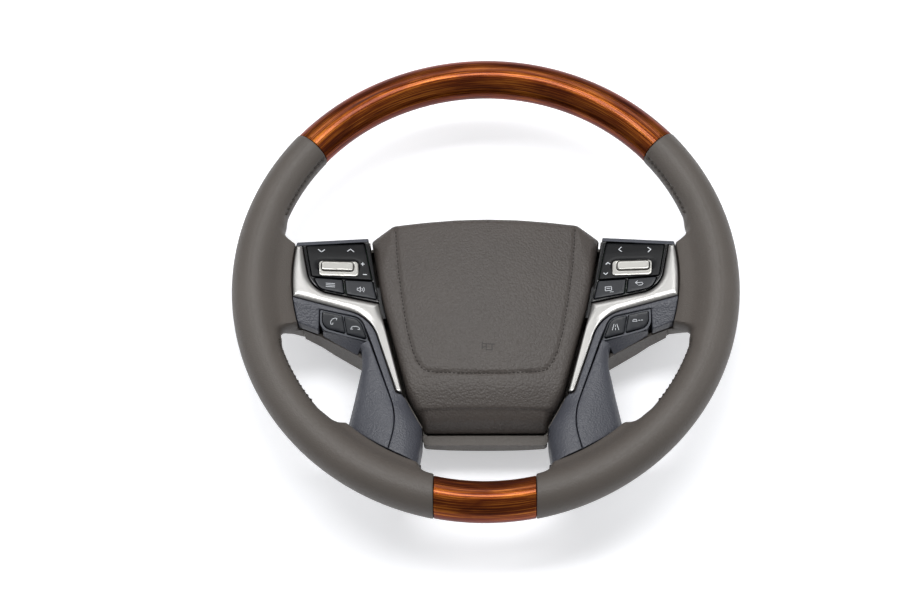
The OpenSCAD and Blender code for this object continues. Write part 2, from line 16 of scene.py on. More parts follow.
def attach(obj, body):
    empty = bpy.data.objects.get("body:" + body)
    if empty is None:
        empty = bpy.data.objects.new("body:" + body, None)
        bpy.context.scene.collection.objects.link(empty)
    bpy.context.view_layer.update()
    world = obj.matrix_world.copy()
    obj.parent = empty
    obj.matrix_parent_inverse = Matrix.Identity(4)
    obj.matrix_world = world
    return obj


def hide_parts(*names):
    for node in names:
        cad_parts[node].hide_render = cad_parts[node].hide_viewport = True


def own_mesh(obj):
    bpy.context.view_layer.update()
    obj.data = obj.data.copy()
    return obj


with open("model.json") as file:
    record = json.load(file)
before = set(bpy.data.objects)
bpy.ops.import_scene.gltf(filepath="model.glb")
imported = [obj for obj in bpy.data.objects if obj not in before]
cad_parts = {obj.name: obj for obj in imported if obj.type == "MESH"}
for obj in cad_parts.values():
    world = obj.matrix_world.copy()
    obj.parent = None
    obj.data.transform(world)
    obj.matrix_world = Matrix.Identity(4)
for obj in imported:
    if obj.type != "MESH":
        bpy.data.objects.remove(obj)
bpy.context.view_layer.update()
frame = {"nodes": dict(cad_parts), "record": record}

# %% [markdown]
# The photographer stood over the wheel, which lay flat on its back, and looked down at 65 degrees
# with the camera slightly turned. A long lens of 70 mm keeps the rim nearly round. A camera needs
# a place and three directions, so they are worked out here from those few angles.

# %% Camera
turn, rise, roll, away = radians(2.87), radians(65.42), radians(-2.78), 1.3581
aim = Vector((-0.0189, -0.0224, 0.072))     # the point in the middle of the picture, at the rim's height
FOCAL_PX, PICTURE_PX, SENSOR_MM = 1800, 920, 36
back = Vector((sin(turn) * cos(rise), -cos(turn) * cos(rise), sin(rise)))
sideways = Vector((0, 0, 1)).cross(back).normalized()
upward = back.cross(sideways)
right = cos(roll) * sideways + sin(roll) * upward
above = -sin(roll) * sideways + cos(roll) * upward
camera = bpy.data.objects.new("camera", bpy.data.cameras.new("camera"))
camera.data.lens = FOCAL_PX * SENSOR_MM / PICTURE_PX
turned = Matrix((right, above, back)).transposed().to_4x4()
camera.matrix_world = Matrix.Translation(aim + back * away) @ turned
bpy.context.collection.objects.link(camera)
bpy.context.scene.camera = camera
print("lens of", round(camera.data.lens, 1), "mm")

# %% [markdown]
# A finish is a small network of nodes. Colours are easiest to name as six hex digits, the way a
# paint chart or a picture editor gives them, but a shader reckons with linear light. So one helper
# turns the digits into linear values, one adds any node with its settings and links, and one
# starts an empty material.

# %% Colours and nodes
def linear(code):
    """A colour written as six hex digits, turned from sRGB to the linear values Blender mixes."""
    parts = [int(code[i:i + 2], 16) / 255 for i in (0, 2, 4)]
    return [c / 12.92 if c <= 0.04045 else ((c + 0.055) / 1.055) ** 2.4 for c in parts] + [1]


def add(tree, kind, settings=None, **links):
    """Adds one node. Settings go to its fields, or to its sockets by name; links go to sockets."""
    made = tree.nodes.new("ShaderNode" + kind)
    for key, value in (settings or {}).items():
        if key in made.inputs:
            made.inputs[key].default_value = value
        else:
            setattr(made, key, value)
    for key, source in links.items():
        socket = made.inputs[int(key[1:])] if key[1:].isdigit() else made.inputs[key.replace("_", " ")]
        tree.links.new(source, socket)
    return made


def new_material(name):
    material = bpy.data.materials.new(name)
    material.use_nodes = True
    material.node_tree.nodes.clear()
    return material, material.node_tree


print("middle grey 808080 is", round(linear("808080")[0], 3), "in linear light")

# %% [markdown]
# A studio for small goods is a white sweep with large soft lamps over it. The floor is a plain
# white sheet of matt paper, which catches the soft grey shadow of the wheel. It also glows a
# little where the camera or a mirror image sees it, so that it photographs as paper white while
# the glow lights nothing.

# %% Floor
paper, tree = new_material("matt_white_paper")  # no shine at all, so no lamp shows in it
sheet = add(tree, "BsdfDiffuse", {"Color": linear("F4F5F8")})
seen = add(tree, "LightPath")
either = add(tree, "Math", {"operation": "MAXIMUM"}, _0=seen.outputs["Is Camera Ray"],
             _1=seen.outputs["Is Glossy Ray"])
GLOW = 0.42
share = add(tree, "Math", {"operation": "MULTIPLY"}, _0=either.outputs[0])
share.inputs[1].default_value = GLOW
glow = add(tree, "Emission", {"Color": linear("FCFDFF")}, Strength=share.outputs[0])
both = add(tree, "AddShader", None, _0=sheet.outputs[0], _1=glow.outputs[0])
add(tree, "OutputMaterial", None, Surface=both.outputs[0])

HALF = 4.0  # metres, so that the edge of the sheet is far outside the picture
floor_mesh = bpy.data.meshes.new("floor")
floor_mesh.from_pydata([(-HALF, -HALF, 0), (HALF, -HALF, 0), (HALF, HALF, 0), (-HALF, HALF, 0)], [],
                       [(0, 1, 2, 3)])
floor = bpy.data.objects.new("floor", floor_mesh)
floor_mesh.materials.append(paper)
bpy.context.collection.objects.link(floor)
print("a floor of", 2 * HALF, "m with a glow of", GLOW)


# %% [markdown]
# The lamps are large soft boxes. The main one hangs over the wheel, where it draws a long
# highlight along the middle of the wood, one stands behind it and two stand at the sides. The
# world is a plain dim white, as in a room with white walls. Each lamp faces the hub.

# %% Lamps
def lamp(name, place, size, power):
    """A soft box at a place in metres, with its two sides in metres and its power in watts."""
    data = bpy.data.lights.new(name, "AREA")
    data.shape, data.size, data.size_y, data.energy = "RECTANGLE", size[0], size[1], power
    made = bpy.data.objects.new(name, data)
    made.location = place
    made.rotation_euler = (Vector(place) - Vector((0, 0, 0.05))).to_track_quat("Z", "Y").to_euler()
    bpy.context.collection.objects.link(made)
    return made


lamp("top_lamp", (-0.05, 0.3, 1.7), (1.3, 0.36), 15)
lamp("back_lamp", (-0.1, 1.1, 1.3), (1.5, 0.5), 6)
lamp("left_lamp", (-1.5, 0.1, 1.2), (0.6, 1.0), 5)
lamp("right_lamp", (1.5, 0.1, 1.2), (0.6, 1.0), 5)
world = bpy.data.worlds.new("studio")
world.use_nodes = True
world.node_tree.nodes["Background"].inputs["Color"].default_value = (1, 1, 1, 1)
world.node_tree.nodes["Background"].inputs["Strength"].default_value = 0.36
bpy.context.scene.world = world
bpy.context.scene.view_settings.view_transform = "Standard"
print(len(bpy.data.lights), "lamps and a dim white world")

# %% [markdown]
# Most parts of the wheel are injection mouldings: a flat or gently curved face inside an outline,
# a small rounding all round, and walls that go back from there. An outline is a list of corners
# with their radii, the same as in the solid model. Its corners become arcs, and as it may be
# drawn clockwise or not, it is put in one sense at the end.

# %% Outlines from corners
def unit(v):
    return v / max(1e-9, float(np.hypot(*v)))


def counter_clockwise(points):
    x, y = points[:, 0], points[:, 1]
    area = np.sum(x * np.roll(y, -1) - np.roll(x, -1) * y)
    return points if area > 0 else points[::-1]


def rounded(corners, step=9):
    """Corners [x, y, radius] in mm, turned into points with an arc at each corner."""
    points, n = [], len(corners)
    for i, (x, y, r) in enumerate(corners):
        p = np.array([x, y], float)
        if r <= 0:
            points.append(p)
            continue
        u = unit(np.array(corners[i - 1][:2], float) - p)
        v = unit(np.array(corners[(i + 1) % n][:2], float) - p)
        half = acos(max(-1, min(1, float(u @ v)))) / 2
        centre = p + unit(u + v) * r / sin(half)
        start, end = p + u * r / tan(half) - centre, p + v * r / tan(half) - centre
        a, b = degrees(atan2(start[1], start[0])), degrees(atan2(end[1], end[0]))
        sweep = (b - a + 540) % 360 - 180
        steps = max(3, ceil(abs(sweep) / step))
        for k in range(steps + 1):
            t = radians(a + sweep * k / steps)
            points.append(centre + r * np.array([cos(t), sin(t)]))
    return counter_clockwise(np.array(points))


print("a square with 3 mm corners has", len(rounded([[0, 0, 3], [9, 0, 3], [9, 9, 3], [0, 9, 3]])), "points")


# %% [markdown]
# An outline then needs work with a pencil: sides split into short ones, an end drawn back onto a
# circle, a line drawn inside another. These helpers do that on arrays of points. They could be
# modifiers, but plain arrays let a face's height depend on how far each point is from an edge.

# %% Work on outlines
def evenly(points, longest=1.5):
    """Adds points so that no side is longer than this, and drops points that sit on each other."""
    out = []
    for p, q in zip(points, np.roll(points, -1, axis=0)):
        length = float(np.hypot(*(q - p)))
        if length < 0.02:
            continue
        for k in range(max(1, ceil(length / longest))):
            out.append(p + (q - p) * k / max(1, ceil(length / longest)))
    return np.array(out)


def drawn_in(points, centre, radius):
    """Draws what lies outside a circle straight back onto it."""
    off = points - np.array(centre, float)
    return np.array(centre, float) + off * np.minimum(1, radius / np.hypot(*off.T))[:, None]


def cut_by_circle(points, centre, radius):
    return drawn_in(evenly(points, 0.7), centre, radius)


def inset(points, depth):
    """Moves an outline inwards along its own corners' bisectors."""
    u = points - np.roll(points, 1, axis=0)
    v = np.roll(points, -1, axis=0) - points
    u /= np.maximum(1e-9, np.hypot(*u.T))[:, None]
    v /= np.maximum(1e-9, np.hypot(*v.T))[:, None]
    nu, nv = np.stack([-u[:, 1], u[:, 0]], 1), np.stack([-v[:, 1], v[:, 0]], 1)
    m = nu + nv
    m /= np.maximum(1e-9, np.hypot(*m.T))[:, None]
    return points + m * depth / np.maximum(0.6, np.sum(m * nu, 1))[:, None]


square = np.array([[0, 0], [9, 0], [9, 9], [0, 9]], float)
print("a 9 mm square, 2 mm further in, starts at", inset(square, 2)[0])

# %% [markdown]
# Two questions come up for every face: does a point lie inside an outline, and how far is it from
# a line? The first decides which points and triangles belong to a face, the second how far the
# face has dropped there. Both are asked for thousands of points at once, so they work on arrays.

# %% Where a point lies
def inside(points, fence):
    """Which points lie inside a closed outline."""
    x, y = points[:, 0][:, None], points[:, 1][:, None]
    a, b = fence, np.roll(fence, -1, axis=0)
    crosses = (a[:, 1] > y) != (b[:, 1] > y)
    with np.errstate(divide="ignore", invalid="ignore"):
        at = (b[:, 0] - a[:, 0]) * (y - a[:, 1]) / (b[:, 1] - a[:, 1]) + a[:, 0]
    return (np.sum(crosses & (x < at), axis=1) % 2) == 1


def how_far(points, line):
    """Distance from each point to an open or closed run of points."""
    a, b = line[:-1], line[1:]
    d = b - a
    length = np.maximum(1e-9, np.sum(d * d, 1))
    best = np.full(len(points), 1e9)
    for p, q, l in zip(a, d, length):
        t = np.clip(((points - p) @ q) / l, 0, 1)
        best = np.minimum(best, np.hypot(*(points - p - t[:, None] * q).T))
    return best


print("its middle lies", how_far(np.array([[4.5, 4.5]]), square)[0], "mm from its sides")


# %% [markdown]
# Each piece of the wheel becomes one mesh. Its points are typed in millimetres and stored in
# metres. It rides on the body of the solid model that it belongs to, so that it moves with it,
# and it may take the place of solids. Edges sharper than a given angle stay crisp, and the rest is
# shaded smooth, as on a moulding.

# %% One mesh per piece
def build(name, points, faces, material, body, stands_for=(), sharp=32, slot=None):
    """One mesh object from points in mm, which rides on a body and takes the place of solids."""
    mesh = bpy.data.meshes.new(name)
    mesh.from_pydata([tuple(c / 1000 for c in p) for p in points], [], faces)
    mesh.validate()
    mesh.shade_smooth()
    mesh.set_sharp_from_angle(angle=radians(sharp))
    mesh.materials.append(material)
    made = bpy.data.objects.new(name, mesh)
    bpy.context.collection.objects.link(made)
    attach(made, body)
    if stands_for:
        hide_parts(*stands_for)
    return made


def mirrored(points, faces):
    return [(-x, y, z) for x, y, z in points], [f[::-1] for f in faces]


def both_sides(name, shape, material, slot, solid=None, moving=None):
    """The same moulding on the right and, mirrored, on the left. It may move, and stand for a solid."""
    for side in ("right", "left"):
        points, faces = shape if side == "right" else mirrored(*shape)
        build(f"{side}_{name}", points, faces, material, f"{side}_{moving}" if moving else "wheel",
              [f"{side}_{solid}"] if solid else [], slot=slot)


def joined(shapes):
    """Many small shapes as one list of points and one of faces."""
    points, faces = [], []
    for some_points, some_faces in shapes:
        faces += [tuple(i + len(points) for i in face) for face in some_faces]
        points += some_points
    return points, faces


print("pieces are made in mm and kept in metres")


# %% [markdown]
# A moulding is made as a mould maker would think of it. The outline rises as a wall, rolls over
# in a quarter round, and the face inside is filled with a fine net of triangles, so that its
# height can follow any rule: a cone, a plane, a crease or a dish. Holes get the same wall and the
# same small round as the outside. A bevel modifier could round the edge, but it can't follow a
# face that bends. First come the two helpers that lay the net and fill it with triangles.

# %% Net and triangles
def within(points, rings):
    """Which points lie inside the first outline and outside the holes."""
    keep = inside(points, rings[0])
    for hole in rings[1:]:
        keep &= ~inside(points, hole)
    return keep


def net_over(rings, closed, edges, net):
    """Rows of points that follow the rounding of each edge, and a net over the rest."""
    low, high = rings[0].min(0), rings[0].max(0)
    gx, gy = np.meshgrid(np.arange(low[0], high[0], net), np.arange(low[1], high[1], net * 0.87))
    gx = gx + (np.arange(gx.shape[0]) % 2)[:, None] * net / 2
    grid = np.column_stack([gx.ravel(), gy.ravel()])
    for line, e in zip(closed, edges):
        grid = grid[how_far(grid, line) > e + 0.4 * min(net, 1.5)]
    rows = [grid]
    for k, (ring, e) in enumerate(zip(rings, edges)):
        for t in (30, 60, 90) if e < 2 else (15, 30, 45, 60, 75, 90):
            depth = e * (1 - cos(radians(t)))
            row = inset(ring, depth if k == 0 else -depth)
            rows.append(row[how_far(row, closed[k]) > 0.9 * depth])
    points = np.vstack(rows)
    return points[within(points, rings)]


def filled(points, sides, rings, thinnest):
    """Triangles between the points, over the area inside the outline and outside the holes."""
    made = geometry.delaunay_2d_cdt([Vector(q) for q in points], sides, [], 0, 1e-6)
    verts, triangles, origins = made[0], made[2], made[3]
    triangles = [t for t in triangles if all(origins[v] for v in t)]
    ends = np.array([[tuple(verts[v]) for v in t] for t in triangles])
    a, b = ends[:, 1] - ends[:, 0], ends[:, 2] - ends[:, 0]
    keep = within(ends.mean(1), rings) & (np.abs(a[:, 0] * b[:, 1] - a[:, 1] * b[:, 0]) > thinnest)
    return [tuple(origins[v][0] for v in t) for t, k in zip(triangles, keep) if k]


halves = filled(square, [(0, 1), (1, 2), (2, 3), (3, 0)], [square], 0)
print("a 9 mm square is filled with", len(halves), "triangles")


# %% [markdown]
# The maker itself puts these together: walls from the foot to the rounding, the face with its
# net, and a plain back. The face drops towards each edge along a quarter circle, worked out from
# the distance to the edge.

# %% The moulding maker
def moulding(outer, top, bottom, edge=0.6, net=3.0, holes=(), hole_floor=None, hole_edge=None):
    """Points and faces of a moulding. top and bottom give the height in mm at arrays of x and y."""
    rings = [evenly(counter_clockwise(np.array(r, float))) for r in (outer, *holes)]
    edges = [edge] + [edge if hole_edge is None else hole_edge] * len(holes)
    closed = [np.vstack([r, r[:1]]) for r in rings]

    def face(p):
        drop = np.zeros(len(p))
        for line, e in zip(closed, edges):
            near = 1 - np.minimum(how_far(p, line), e) / e
            drop = np.maximum(drop, e * (1 - np.sqrt(np.maximum(0, 1 - near * near))))
        return top(p[:, 0], p[:, 1]) - drop

    points, faces, rims = [], [], []
    for k, ring in enumerate(rings):
        foot = (bottom if k == 0 else hole_floor or bottom)(ring[:, 0], ring[:, 1])
        base, n = len(points), len(ring)
        points.extend(map(tuple, np.column_stack([ring, foot])))
        points.extend(map(tuple, np.column_stack([ring, top(ring[:, 0], ring[:, 1]) - edges[k]])))
        for j in range(n):
            quad = (base + j, base + (j + 1) % n, base + n + (j + 1) % n, base + n + j)
            faces.append(quad if k == 0 else quad[::-1])
        rims.append((base, base + n))
    net_points = net_over(rings, closed, edges, net)
    index, sides = [], []
    for (_, rim), ring in zip(rims, rings):
        first, n = len(index), len(ring)
        index += range(rim, rim + n)
        sides += [(first + i, first + (i + 1) % n) for i in range(n)]
    index += range(len(points), len(points) + len(net_points))
    points.extend(map(tuple, np.column_stack([net_points, face(net_points)])))
    faces += [tuple(index[v] for v in t) for t in filled(np.vstack(rings + [net_points]), sides, rings, 1e-4)]
    # The back needs no net: triangles between the points of its outline
    ring, n = rings[0], len(rings[0])
    backs = filled(ring, [(i, (i + 1) % n) for i in range(n)], [ring], -1)
    return points, faces + [t[::-1] for t in backs]


def flat(height):
    return lambda x, y: height + 0 * x


tile = moulding(square, flat(2), flat(0))
print("a 9 mm tile has", len(tile[1]), "faces")

# %% [markdown]
# A few sizes and two surfaces are shared by all the pieces. The spoke faces of a real wheel rise
# towards the rim like a very flat cone, so that the hands find the switches from the rim. The
# switch pods follow a plane that rises as steeply but only sideways. The pods and the bezels end
# on one circle, and the lower spokes end on another, where the leather begins.

# %% Sizes of the wheel
RIM_Z, RING_R, GRIP = 72.0, 177.0, 31.0     # height and radius of the rim's middle, and its thickness
FACE_DROP, FACE_SLOPE = 27.6, 0.17
POD_CENTRE, POD_R = (1.5, 8), 146
LOW_END_R = 152.4


def smooth(t):
    """Goes from 0 to 1 without a corner, as t does."""
    c = np.clip(t, 0, 1)
    return c * c * (3 - 2 * c)


def cone(x, y, lift=0.0):
    """Height of the cone on which the spoke faces lie."""
    return RIM_Z - FACE_DROP + FACE_SLOPE * np.hypot(x, y) + lift


def pod_plane(x, y, lift=0.0):
    """Height of the plane of the switch pods. With a lift it is a plane above or below it."""
    return RIM_Z - FACE_DROP + FACE_SLOPE * np.abs(x) + lift + 0 * y


def level(surface, shift):
    """One of the shared surfaces at another height, as a face for the moulding maker."""
    return lambda x, y: surface(x, y, shift)


print("spoke faces lie at", round(float(cone(0, 0)), 1), "mm on the axis")

# %% [markdown]
# The grips are stitched leather over foam: chrome tanned hide with a pressed fine grain and a
# matt finish. Its grain is a pebble pattern about 0.9 mm across, drawn here at 1.2 mm so that it
# still shows in a picture of the whole wheel. Real pebbles could be displaced geometry, but at this
# size a bump does the same for far fewer triangles. Two sizes of pebble and a slow cloud of tone
# keep it from looking printed, and the roughness follows the pebbles, whose tops are polished.

# %% Leather
COLOUR_A, COLOUR_B = 6, 7  # the sockets of a mix of two colours
CLOUD_MM, CLOUD_SHARE = 45, 0.48


def pebbled(name, colour, darker, grain_mm, depth, rough):
    """Moulded or pressed pebbles. Object coordinates are metres, so 1000 / mm is cells to the metre."""
    material, tree = new_material(name)
    where = add(tree, "TexCoord")
    cells = add(tree, "TexVoronoi", {"feature": "SMOOTH_F1", "Scale": 1000 / grain_mm, "Smoothness": 0.6},
                Vector=where.outputs["Object"])
    fine = add(tree, "TexNoise", {"Scale": 1000 / (grain_mm * 0.45), "Detail": 3.0},
               Vector=where.outputs["Object"])
    slow = add(tree, "TexNoise", {"Scale": 1000 / CLOUD_MM, "Detail": 2.0}, Vector=where.outputs["Object"])
    mix = add(tree, "Mix", {"data_type": "RGBA"})
    mix.inputs[COLOUR_A].default_value, mix.inputs[COLOUR_B].default_value = linear(darker), linear(colour)
    tone = add(tree, "MapRange", {"From Min": 0.3, "From Max": 0.7, "To Min": 1 - CLOUD_SHARE, "To Max": 1.0},
               Value=slow.outputs["Fac"])
    tree.links.new(tone.outputs[0], mix.inputs[0])
    # The fine noise adds about a third of its height to the cells, as creases between the pebbles
    height = add(tree, "Math", {"operation": "ADD"}, _0=cells.outputs["Distance"])
    part = add(tree, "Math", {"operation": "MULTIPLY"}, _0=fine.outputs["Fac"])
    part.inputs[1].default_value = 0.35
    tree.links.new(part.outputs[0], height.inputs[1])
    bump = add(tree, "Bump", {"Strength": depth, "Distance": grain_mm * 0.00028}, Height=height.outputs[0])
    matt = add(tree, "MapRange", {"From Min": 0.2, "From Max": 1.1, "To Min": rough - 0.07,
                                  "To Max": rough + 0.08}, Value=height.outputs[0])
    skin = add(tree, "BsdfPrincipled", {"IOR": 1.5}, Base_Color=mix.outputs[2], Roughness=matt.outputs[0],
               Normal=bump.outputs[0])
    add(tree, "OutputMaterial", None, Surface=skin.outputs[0])
    return material


# Fine shallow grain: the eye reads a soft, dull hide
leather = pebbled("taupe_leather", "56504B", "4E4944", 1.2, 0.35, 0.5)
# Larger and deeper cells on a darker ground: a moulded skin, which is stiffer than the hide
airbag_skin = pebbled("taupe_moulded_vinyl", "49433F", "423D3A", 1.7, 0.75, 0.5)
# A cool grey with a little more shine, which sets the covers off from the warm leather
slate_skin = pebbled("slate_moulded_vinyl", "464850", "3F4149", 1.3, 0.8, 0.4)
print("three pebbled skins")

# %% [markdown]
# Each leather grip is a tube round the rim that swells towards the hub where a spoke meets it.
# Angles run from the right end of the wheel, and the left grip is the mirror image. First come the
# rules for how far the swelling goes: it fades in and out over a few degrees at each side of a
# spoke, and ends half a millimetre short of the pods and one short of the lower covers.

# %% Where the leather ends
POD_GAP, LOW_GAP = 0.5, 1.0
SIDE_SPOKE, LOW_SPOKE = -31, -34    # the side spoke's rules hold above the first, its trim above the second


def inner_limit(a):
    """Radius at which the switch pods or the lower spokes end against the leather, at angle a."""
    x, y = POD_CENTRE
    b = x * cos(radians(a)) + y * sin(radians(a))
    pod = b + sqrt(max(0, b * b + (POD_R + POD_GAP) ** 2 - x * x - y * y))
    return pod if a > LOW_SPOKE else LOW_END_R + LOW_GAP


def fillet(t, power):
    return min(1, max(0, t)) ** power


def soft_min(a, b, k):
    """The lesser of two values, with the corner between them rounded over a width of k."""
    h = np.maximum(k - np.abs(a - b), 0) / k
    return np.minimum(a, b) - h * h * k / 4


def soft_max(a, b, k):
    return -soft_min(-a, -b, k)


def side_end(a):
    rise = smooth((24 - a) / 8) * smooth((a + 24) / 7)
    return 3 + 12.5 * rise + 30 * fillet((16.5 - a) / 5, 3.2) * fillet((a + 17.3) / 4.5, 3.2)


def low_end(a):
    rise = smooth((-37 - a) / 7) * smooth((a + 84) / 7)
    return 3 + 12.5 * rise + 22 * fillet((-43 - a) / 7, 2.3) * fillet((a + 77.5) / 8, 2.3)


print("the leather ends at", round(inner_limit(0), 1), "mm beside a pod and at", inner_limit(-60), "below")

# %% [markdown]
# The section itself is a round grip joined softly with a tongue that points to the hub. Such a
# blend is hard to draw as a curve but easy to test: a rule says of any point whether it lies in
# the leather, and from the middle of the rim a point is moved out until it leaves it. This is how
# the solid model does it too, only here in finer steps. A groove is sunk where the seam will lie.

# %% Section of the leather
def leather_gap(a, u, w):
    """Below 0 inside the leather: u runs inwards from the middle of the rim, w towards the driver."""
    side = a > SIDE_SPOKE
    top = (14.4 - 0.55 * u if side else 14.6 - 0.675 * u) - 3 * smooth(1 - u / 9)
    # The tongue's back rises towards the upper and the lower edge of the side spoke
    share, start = (0.75, 12.8) if a > 0 else (0.95, 11.6)
    thin = 1 - share * smooth((abs(a) - start) / 3)
    bottom = -11.5 - (0.75 * thin if side else 0.77) * u
    end = side_end(a) if side else low_end(a)
    tongue = soft_max(soft_max(w - top, bottom - w, 2) * 0.85, soft_max(u - end, -u, 2), 8)
    return soft_min(np.hypot(u, w) - GRIP / 2, tongue, 6)


SEAM_AT, SEAM_DEPTH = 161, 1.0  # degrees round the section, and mm


def seam_share(a):
    """How much of the seam's groove there is: none where a spoke meets the rim."""
    if a > SIDE_SPOKE:
        return float(1 - smooth((23 - a) / 6) * smooth((a + 22) / 6))
    return float(1 - smooth((-36 - a) / 6))


def leather_reach(a, phi):
    """Distance from the middle of the rim to the leather, found by halving a bracket."""
    c, s = np.cos(phi), np.sin(phi)
    near, far = np.full(len(phi), 12.0), np.full(len(phi), 76.0)
    for _ in range(18):
        middle = (near + far) / 2
        within = leather_gap(a, -middle * c, middle * s) < 0
        near, far = np.where(within, middle, near), np.where(within, far, middle)
    reach = np.where(c > 0, GRIP / 2, (near + far) / 2)
    off = (phi - radians(SEAM_AT)) * GRIP / 2
    return reach - SEAM_DEPTH * seam_share(a) * np.exp(-off ** 2)


print("beside a pod the leather reaches", leather_reach(0, np.array([pi])).round(1), "mm from its middle")

# %% [markdown]
# The grip is lofted: one closed section at each half degree, joined to the next by a band of
# quads. Where it meets the lower wood, both are sawn off square to the picture, not radially, so
# the last sections turn. At both ends three narrow sections fold the hide in round the foam.

# %% Section of a grip
WOOD_END = 78      # the lower wood ends this many degrees below the right end of the wheel
FLAT_END, END_X = -WOOD_END, RING_R * cos(radians(WOOD_END))


def squared(a, rad, share):
    """Angles at which points of a section lie: the lower wood is sawn off square, not radially."""
    return np.radians(a + share * (WOOD_END - np.degrees(np.arccos(END_X / rad))))


def grip_section(a, sides, shrink=0.0):
    phi = np.linspace(0, 2 * pi, sides, endpoint=False)
    reach = leather_reach(a, phi) - shrink
    rad, up = RING_R + reach * np.cos(phi), reach * np.sin(phi)
    # Below the pods the back of the leather reaches 3.4 mm further in, under the trim
    limit = inner_limit(a) - (3.4 * smooth((-up - 17.5) / 2) if a > LOW_SPOKE else 0)
    rad = 0.5 * (rad + limit + np.sqrt((rad - limit) ** 2 + 1.2))
    t = squared(a, rad, max(0.0, (-70 - a) / 8))
    return np.column_stack([rad * np.cos(t), rad * np.sin(t), RIM_Z + up])


print("a section has its outer side at", grip_section(0, 4)[0].round(1))

# %% [markdown]
# A loft joins each point of a section to the same point of the next. Its sides are quads, so they
# shade smoothly along the rim, and a lid closes each end. The curve tools could sweep a section
# along a path too, but here every section has its own shape.

# %% Leather grips
def lofted(sections):
    """Closed sections joined by bands of quads, with a lid at each end."""
    n, m = len(sections), len(sections[0])
    faces = [(i * m + j, i * m + (j + 1) % m, (i + 1) * m + (j + 1) % m, (i + 1) * m + j)
             for i in range(n - 1) for j in range(m)]
    faces += [tuple(range(m - 1, -1, -1)), tuple((n - 1) * m + j for j in range(m))]
    return [tuple(p) for s in sections for p in s], faces


SIDES = 128
first, last = 39.93, FLAT_END + 0.07
folds = [(0.0, 1.0), (0.04, 0.5), (0.14, 0.15), (0.3, 0.0)]     # degrees from the end, and mm turned in
sections = [grip_section(first - off, SIDES, shrink) for off, shrink in folds]
sections += [grip_section(a, SIDES) for a in np.arange(first - 0.6, last + 0.5, -0.5)]
sections += [grip_section(last + off, SIDES, shrink) for off, shrink in reversed(folds)]
leather_shape = lofted(sections)
for side in ("right", "left"):
    points, faces = leather_shape if side == "right" else mirrored(*leather_shape)
    build("hide_" + side, points, faces, leather, "wheel", ["leather_grip_" + side], slot="taupe_leather")
print("each grip has", len(sections), "sections")

# %% [markdown]
# The hide is closed by a hand sewn seam on the inner side of the grip. The needle goes round both
# edges, so each stitch lies aslant across the seam, about 4.5 mm from the next. A stitch is a
# short thread whose ends dive into the hide, drawn here as a small bowed tube. A picture of
# stitches would look flat at the inner edge of the rim, where they stand out against the light.

# %% Thread
WAVE = 2 * pi / 20      # a wave texture of scale 1 repeats after this many metres
TWIST_MM = 0.8 * WAVE   # a quarter of a millimetre from strand to strand


def thread_material():
    """Dull dark thread, with a ridge for each strand of its twist, so it doesn't look like wire."""
    material, tree = new_material("bonded_polyester_thread")
    where = add(tree, "TexCoord")
    twist = add(tree, "TexWave", {"Scale": 1000 * WAVE / TWIST_MM, "Distortion": 1.0},
                Vector=where.outputs["Object"])
    bump = add(tree, "Bump", {"Strength": 0.3, "Distance": 0.0001}, Height=twist.outputs["Fac"])
    skin = add(tree, "BsdfPrincipled", {"Base Color": linear("3F3A36"), "Roughness": 0.6},
               Normal=bump.outputs[0])
    add(tree, "OutputMaterial", None, Surface=skin.outputs[0])
    return material


thread = thread_material()
print("the thread's strands lie", round(TWIST_MM, 2), "mm apart")

# %% [markdown]
# One stitch starts in the groove, rises over it aslant and dives in again. Its course and its
# thickness are worked out for one angle, and the seam is that stitch repeated, above and below
# the side spoke. All the stitches of a side are one mesh, as they are one thread.

# %% Seam of the hide
STITCH_PITCH, STITCH_LENGTH, THREAD, SLANT = 4.5, 4.4, 1.2, radians(38)


def stitch(a):
    """Sections of one stitch at angle a round the rim."""
    phi, t = radians(SEAM_AT), radians(a)
    reach = float(leather_reach(a, np.array([phi]))[0])
    radial = np.array([cos(t), sin(t), 0])
    out = radial * cos(phi) + np.array([0, 0, sin(phi)])
    along = np.array([-sin(t), cos(t), 0])
    across = np.cross(out, along)
    middle = radial * RING_R + np.array([0, 0, RIM_Z]) + out * reach
    way = along * cos(SLANT) + across * sin(SLANT)
    width = np.cross(out, way)
    rings = []
    for k in range(9):
        s = k / 4 - 1
        centre = middle + way * s * STITCH_LENGTH / 2 + out * (1.25 - 1.5 * s * s)
        r = THREAD / 2 * sqrt(max(0.05, 1 - s ** 6))
        ring = [centre + r * (width * cos(radians(b)) + out * sin(radians(b))) for b in range(0, 360, 45)]
        rings.append(np.array(ring))
    return rings


step = degrees(STITCH_PITCH / (RING_R - GRIP / 2))
angles = np.concatenate([np.arange(first, last, -step) for first, last in ((38.8, 18.6), (-18.8, -38.6))])
seam = joined([lofted(stitch(a)) for a in angles])
for side in ("right", "left"):
    points, faces = seam if side == "right" else mirrored(*seam)
    build("seam_" + side, points, faces, thread, "wheel", sharp=60, slot="taupe_leather")
print(len(angles), "stitches a side")

# %% [markdown]
# The wooden grips are laminated veneer, stained red brown and sealed under a thick amber lacquer.
# The grain runs along the rim in fine dark lines. A plain object coordinate can't follow a ring,
# so a UV map will hold the length along the rim and round it, in metres. Figured wood throws light
# back from inside, like a dull metal, and the lacquer adds a clearer shine on top: a partly
# metallic base in the wood's own colour under a tinted clear coat gives both.

# %% Lacquered wood
STREAK_MM = (400 / 7, 20 / 21)  # 7 streaks end to end in 400 mm and 21 side by side in 20 mm
BAND_MM = (625 / 12, 125 / 9)   # wider, darker bands, 52 mm long and 14 mm wide


